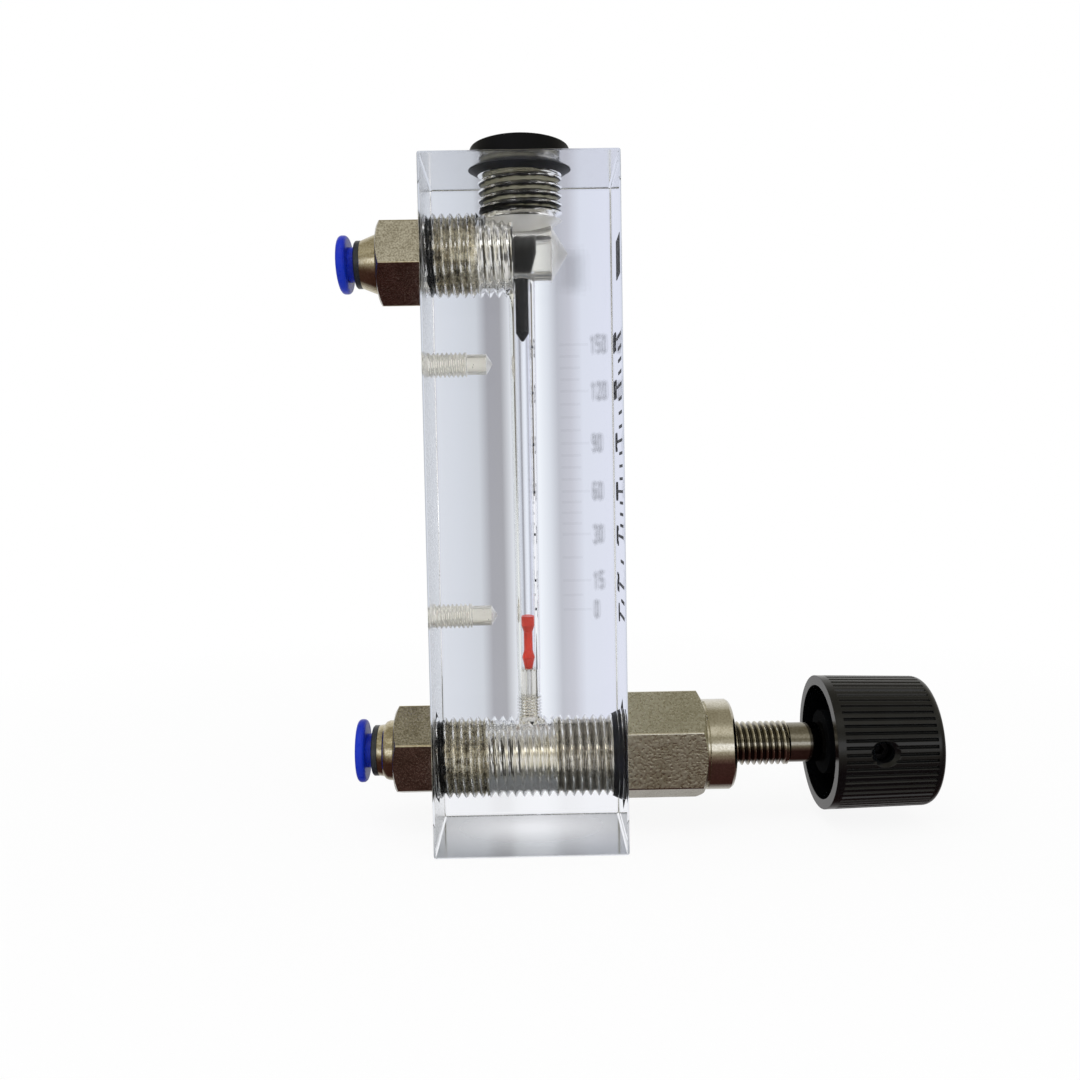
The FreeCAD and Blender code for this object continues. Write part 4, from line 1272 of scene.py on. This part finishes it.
@dataclass
class NeedleValve(Assembly):
    """Needle valve body, stem and knob at the front."""

    axis_z: float = 13.0
    front: float = 15.0
    hex_af: float = 16.0
    hex_end: float = 28.5
    hex_turn: float = 26.0
    core_r: float = 5.0
    waist_r: float = 6.8
    neck_r: float = 5.85
    collar_x: float = 28.9
    collar_r: float = 7.4
    collar_ease: float = 0.15
    collar_lip: tuple[float, float] = (0.6, 0.3)
    end_x: float = 33.3
    thread_x: float = 4.0
    thread_lead: tuple[float, float] = (0.5, 0.7)
    nose_x: float = -2.65
    nose_r: float = 5.3
    nose_edge: float = 0.2
    nose_bore_r: float = 3.0
    nose_bore_x: float = 7.55
    seal_bore_r: float = 2.55
    stem_bore_r: float = 3.65
    stem_bore: float = 12.7
    cross_r: float = 1.25
    cross_z: tuple[float, float] = (6.0, 20.0)

    def build(self) -> None:
        """Makes the valve body, its ring and stem, and dresses the rest."""
        self._body()
        Stem(self.shop, self.looks, self.axis_z, self.end_x).build()
        SqueezedRing(self.shop, self.looks, "valve_ring", "valve_body_o_ring", Line.ACROSS, self.front,
                     VALVE_SINK, self.axis_z).build()
        dress("valve_seat", self.looks.rubber)
        dress("stem_o_ring", self.looks.rubber)
        dress("knob", self.looks.knob)
        dress("knob_grub_screw", self.looks.oxide)

    def _inside(self) -> list[tuple[float, float]]:
        """Outline of the body's bores, from the collar's end to the nose."""
        step, nose, deep = self.end_x - self.stem_bore, self.nose_x, self.nose_bore_x
        return [(self.end_x, self.stem_bore_r), (step, self.stem_bore_r), (step, self.seal_bore_r),
                (deep, self.seal_bore_r), (deep, self.nose_bore_r), (nose, self.nose_bore_r)]

    def _body(self) -> None:
        """Makes the body: hexagon, collar, thread and bored nose."""
        slots = [self.looks.nickel_bar, self.looks.nickel_turned, self.looks.valve_thread]
        waist, collar, ease = self.waist_r, self.collar_r, self.collar_ease
        neck = self.front - VALVE_SINK[1]
        nose, end, thread = self.nose_x, self.end_x, self.thread_x
        start = thread + self.thread_lead[0]
        body = self.shop.turned("needle_valve_body", [
            Section(((nose, self.nose_bore_r), (nose, self.nose_r - self.nose_edge),
                     (nose + self.nose_edge, self.nose_r), (thread, self.nose_r),
                     (thread, CREST_R - self.thread_lead[1]), (start, CREST_R)), 1),
            Section(screwed(start, neck), 2),
            Section([(neck, CREST_R), (neck, self.neck_r), (self.front, self.neck_r), (self.front, waist),
                     (self.hex_end, waist), (self.collar_x, waist), (self.collar_x, collar - ease),
                     (self.collar_x + ease, collar), (end - self.collar_lip[0], collar),
                     (end - ease, collar - self.collar_lip[1]), (end, waist), *self._inside()], 1),
        ], slots, Line.ACROSS, self.axis_z)
        drill = [rod(*self.cross_z, self.cross_r)]
        hole = self.shop.turned("cut_cross", drill, slots, Line.UPRIGHT, segments=32)
        body = self.shop.combine(body, hole, "DIFFERENCE")
        span = (self.front, self.hex_end)
        body = self.shop.add_hexagon(body, span, self.hex_af, self.hex_turn, self.axis_z, End.HIGH,
                                     self.core_r)
        self.deliver(body, "nickel_plated_brass", "valve_body")


@dataclass
class Stem(Assembly):
    """Needle, seal groove, thread and smooth shank, all in one turned stem."""

    axis_z: float
    collar_end_x: float
    end_x: float = 61.75
    shank_r: float = 3.25
    thread_out: float = 9.6
    thread_length: float = 16.0
    crest_r: float = 3.6
    root_r: float = 3.1
    run_out: float = 0.3
    guide_r: float = 2.5
    guide_ease: float = 0.5
    guide_x: float = 9.05
    groove_back: float = 8.1
    groove_width: float = 1.6
    needle_r: float = 1.5
    needle_x: float = 6.45
    tip_x: float = 2.45
    tip_r: float = 0.3

    def build(self) -> None:
        """Makes the stem."""
        last = self.collar_end_x + self.thread_out
        first = last - self.thread_length
        groove = first - self.groove_back
        low, thin, wide = groove - self.groove_width, self.needle_r, self.guide_r
        stem = self.shop.turned("threaded_stem", [
            Section(((self.tip_x, 0), (self.tip_x, self.tip_r), (self.needle_x, thin), (self.guide_x, thin),
                     (self.guide_x, wide), (low, wide), (low, thin), (groove, thin), (groove, wide),
                     (first - self.guide_ease, wide), (first - self.run_out, self.root_r),
                     (first, self.crest_r))),
            Section(Thread(first, last - self.run_out, self.crest_r, depth=0.6, pitch=1.0, rows_per_turn=12)),
            Section(((last - self.run_out, self.crest_r), (last, self.shank_r), (self.end_x, self.shank_r),
                     (self.end_x, 0))),
        ], [self.looks.stem], Line.ACROSS, self.axis_z)
        self.deliver(stem, "nickel_plated_brass", "valve_stem", "stem_and_knob")


@dataclass
class Studio:
    """Camera, floor, backing paper, world and lamps. Every length is in millimetres."""

    eye: Spot = (1.129, -158.435, 56.630)
    pitch: float = 0.056278
    yaw: float = 0.006882
    roll: float = -0.018056
    focal_px: float = 959.35
    frame_px: float = 1080.0
    sensor: float = 36.0
    clip: float = 5.0
    floor_half: float = 3000.0
    floor_drop: float = 0.05
    shade_half: float = 16.0
    shade_drop: float = 0.03
    paper_y: float = 16.5
    paper_half: float = 75.0
    paper_top: float = 190.0
    band_half: float = 20.0
    shadow_y: float = 16.4
    shadow_x: float = 10.3
    shadow_z: float = 53.0
    shadow_stretch: tuple[float, float] = (0.36, 1.03)
    shadow_turn: float = 2.4
    shadow_step: float = 0.02
    aim: Spot = (10.0, 0.0, 45.0)

    SHADOWS = (("scale_ticks", 1, 0.1, 0.95), ("scale_numerals", 10, 0.15, 0.915),
               ("scale_header_bar", 14, 0.42, 0.978))
    # Tones across the backing paper: the grey bands are painted shadows of the block's insides, the paler
    # ones painted caustic light.
    PAPER_PAINTED_SHADOWS = (
        (-20, "E6E9EE"), (-11.7, "D8DCE3"), (-8.0, "D0D4DA"), (-6.2, "A2A2A8"), (-4.0, "A2A2A7"),
        (-2.4, "DFE2E6"), (0.3, "F4F7FD"), (2.5, "F5F9FE"), (4.2, "DFE3EA"), (5.8, "BDBFC7"),
        (7.8, "C7C8D1"), (10.0, "E0E4EF"), (14.5, "E3E6F3"), (20, "EEF0F6"),
    )
    ROOM_THROUGH = ((0.0, "4A2A2C"), (0.34, "552A30"), (0.41, "8E8577"), (0.5, "BDB6A8"), (0.8, "D4D0C4"),
                    (1.0, "DEDACF"))
    ROOM_BESIDE = ((0.0, "392220"), (0.3, "46342F"), (0.5, "6E675C"), (0.8, "AFAA9A"), (1.0, "8C8674"))
    ROOM_IN_FRONT = (
        (0.0, "392220"), (0.19, "3C2624"), (0.27, "5A4840"), (0.36, "7C7164"), (0.44, "A8A294"),
        (0.5, "F4F2EE"), (0.59, "FFFFFF"), (0.64, "B4AFA2"), (0.74, "96917F"), (0.82, "C8C3B4"),
        (0.9, "D8D3C4"), (0.955, "BAB5A4"), (1.0, "8C8674"),
    )

    def camera(self) -> None:
        """Sets the camera where the fitted view puts it."""
        data = bpy.data.cameras.new("view")
        data.sensor_width = self.sensor
        data.sensor_fit = "HORIZONTAL"
        data.lens = self.focal_px / self.frame_px * self.sensor
        data.clip_start = self.clip * MM
        item = placed("view", data)
        cp, sp = math.cos(self.pitch), math.sin(self.pitch)
        cy, sy = math.cos(self.yaw), math.sin(self.yaw)
        cr, sr = math.cos(self.roll), math.sin(self.roll)
        forward = Vector((sy * cp, cy * cp, -sp))
        right = Vector((cy, -sy, 0.0))
        up = right.cross(forward)
        matrix = Matrix((right * cr + up * sr, up * cr - right * sr, -forward)).transposed().to_4x4()
        matrix.translation = Vector(self.eye) * MM
        item.matrix_world = matrix
        bpy.context.scene.camera = item

    def _square(self, half: float, drop: float) -> Shape:
        """Draws a level square around the origin.

        Args:
            half: Half of its side.
            drop: How far it lies under the block's foot.

        Returns:
            The square.
        """
        shape = bmesh.new()
        bmesh.ops.create_grid(shape, x_segments=1, y_segments=1, size=half * MM)
        bmesh.ops.translate(shape, vec=Vector((0, 0, -drop * MM)), verts=shape.verts)
        return shape

    def _card(self, name: str, shape: Shape, material: Material) -> None:
        """Adds a card of the studio that shows only through the block.

        Args:
            name: Name of the card.
            shape: Its faces, which are freed.
            material: Its look.
        """
        item = placed(name, baked(name, shape, [material]))
        for ray in ("camera", "diffuse", "glossy", "shadow"):
            setattr(item, f"visible_{ray}", False)

    def floor(self) -> None:
        """Lays a plain white floor that keeps a soft shadow."""
        nodes = Nodes.named("white_paper_floor")
        paper = nodes.add("ShaderNodeBsdfDiffuse", {"Color": tone(0.95)}).outputs[0]
        path = nodes.add("ShaderNodeLightPath").outputs
        white = nodes.share(nodes.away((0.0, 0.0, 0.0)), 0.05, 0.22, 0.9, 1.0)
        straight = nodes.calc("MAXIMUM", path["Is Camera Ray"], path["Is Transmission Ray"])
        seen = nodes.calc("MULTIPLY", straight, white)
        material = nodes.close(nodes.mix(seen, paper, nodes.light("Emission", tone(1.0))))
        floor = placed("floor", baked("floor", self._square(self.floor_half, self.floor_drop), [material]))
        floor.visible_glossy = False

    def backing(self) -> None:
        """Hangs the lavender-grey paper that shows only through the block, with painted shadows and painted
        caustic light on it.
        """
        nodes = Nodes.named("lavender_paper_painted_shadows")
        half = self.band_half
        across = nodes.share(nodes.axis("X"), -half * MM, half * MM)
        painted_shadow_bands = nodes.ramp(across, *(((x + half) / (2 * half), code) for x, code in self.PAPER_PAINTED_SHADOWS))
        # The paper fades to white towards the floor.
        rise = nodes.share(nodes.axis("Z"), 0.0, 0.1)
        lift = nodes.ramp(rise, (0.03, 0.85), (0.09, 0.12), (0.95, 0.0))
        material = nodes.close(nodes.light("Emission", nodes.blend(lift, painted_shadow_bands, tone(1.0))))
        shape = bmesh.new()
        left, right, top = -self.paper_half, self.paper_half, self.paper_top
        corners = [(left, 0), (right, 0), (right, top), (left, top)]
        shape.faces.new([shape.verts.new((x * MM, self.paper_y * MM, z * MM)) for x, z in corners])
        self._card("backing_paper_painted_shadows", shape, material)

    def shade(self) -> None:
        """Lays the contact shadow that is seen only through the block's foot."""
        nodes = Nodes.named("shaded_paper")
        material = nodes.close(nodes.light("Emission", tone("8C8986")))
        self._card("contact_shade", self._square(self.shade_half, self.shade_drop), material)

    def ghost(self) -> None:
        """Hangs the soft shadow of the printed scale just in front of the backing paper."""
        for node, count, spread, veil in self.SHADOWS:
            nodes = Nodes.named(f"{node}_shadow")
            material = nodes.close(nodes.add("ShaderNodeBsdfTransparent", {"Color": tone(veil)}).outputs[0])
            for step in range(count):
                self._shadow(node, step, spread * math.sqrt(step), material)

    def _shadow(self, node: str, step: int, away: float, material: Material) -> None:
        """Hangs one faint copy of a printed node.

        Args:
            node: Name of the node.
            step: Number of the copy.
            away: How far it is moved from the first copy.
            material: Its veil.
        """
        shape = bmesh.new()
        shape.from_mesh(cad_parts[node].data)
        hidden = [face for face in shape.faces if face.normal.x < FACING_SHARE]
        bmesh.ops.delete(shape, geom=hidden, context="FACES")
        turn, middle = step * self.shadow_turn, self.shadow_z
        wide, tall = self.shadow_stretch
        for vert in shape.verts:
            spot = vert.co / MM
            x = self.shadow_x + wide * spot.y + away * math.cos(turn)
            z = middle + (spot.z - middle) * tall + away * math.sin(turn)
            vert.co = Vector((x, self.shadow_y - self.shadow_step * step, z)) * MM
        self._card(f"shadow_{node}_{step}", shape, material)

    def world(self) -> None:
        """White backdrop behind the meter, and a plain room that metal and cut acrylic show elsewhere."""
        nodes = Nodes(bpy.data.worlds.new("studio"))
        path = nodes.add("ShaderNodeLightPath").outputs
        way = nodes.place("Generated")
        rise = nodes.share(nodes.axis("Z", way), -1.0, 1.0)
        depth = nodes.axis("Y", way)
        above = nodes.ramp(rise, (0.3, 0.0), (0.47, 1.0))
        backdrop = nodes.calc("MULTIPLY", nodes.share(depth, 0.05, 0.45), above)
        facing = nodes.share(depth, -0.75, -0.35, 1.0, 0.0)
        beside = nodes.share(depth, 0.3, 1.0, 0.0, 0.75)
        front = nodes.ramp(rise, *self.ROOM_IN_FRONT)
        mirrored = nodes.blend(facing, nodes.ramp(rise, *self.ROOM_BESIDE), front)
        white = nodes.light("Background", tone(1.0))
        through = nodes.mix(backdrop, nodes.light("Background", nodes.ramp(rise, *self.ROOM_THROUGH)), white)
        metal = nodes.mix(beside, nodes.light("Background", mirrored), white)
        found = nodes.light("Background", tone(0.6))
        for ray, seen in (("Transmission", through), ("Glossy", metal), ("Camera", white)):
            found = nodes.mix(path[f"Is {ray} Ray"], found, seen)
        bpy.context.scene.world = nodes.close(found, "World")

    def lamp(self, name: str, spot: Spot, size: float, power: float) -> None:
        """Hangs a square soft box that looks at the middle of the meter.

        Args:
            name: Name of the lamp.
            spot: Where it hangs.
            size: Length of a side.
            power: Watts.
        """
        data = bpy.data.lights.new(name, "AREA")
        data.size = size * MM
        data.energy = power
        item = placed(name, data)
        item.location = Vector(spot) * MM
        item.rotation_euler = (Vector(self.aim) - Vector(spot)).to_track_quat("-Z", "Y").to_euler()
        item.visible_glossy = False

    def build(self) -> None:
        """Sets the whole studio."""
        self.camera()
        self.floor()
        self.backing()
        self.world()
        self.shade()
        self.ghost()
        self.lamp("key_soft_box", (-60, -170, 330), 300, 0.5)
        self.lamp("fill_soft_box", (260, -240, 160), 260, 0.25)
        bpy.context.scene.view_settings.view_transform = "Standard"
        cycles = bpy.context.scene.cycles
        cycles.max_bounces = 24
        cycles.transmission_bounces = 24
        cycles.glossy_bounces = 8
        cycles.transparent_max_bounces = 32


def main() -> None:
    """Builds the meter and its studio."""
    logging.basicConfig(level=logging.INFO, format="%(name)s: %(message)s")
    looks = Finishes()
    shop = Workshop()
    Block(shop, looks).build()
    Plug(shop, looks).build()
    RearFitting(shop, looks, "outlet", 93.0, 0.7, -10.3,
                ((0.0, 3.75), (0.2, 3.85), (2.6, 4.8), (2.9, 4.85)), 13.2).build()
    RearFitting(shop, looks, "inlet", 13.0, 0.0, 19.2,
                ((0.0, 4.05), (0.15, 4.15), (0.9, 4.25), (1.3, 4.7), (1.8, 4.9), (2.9, 4.95)), 13.7).build()
    NeedleValve(shop, looks).build()
    Studio().build()


if __name__ == "__main__":
    main()
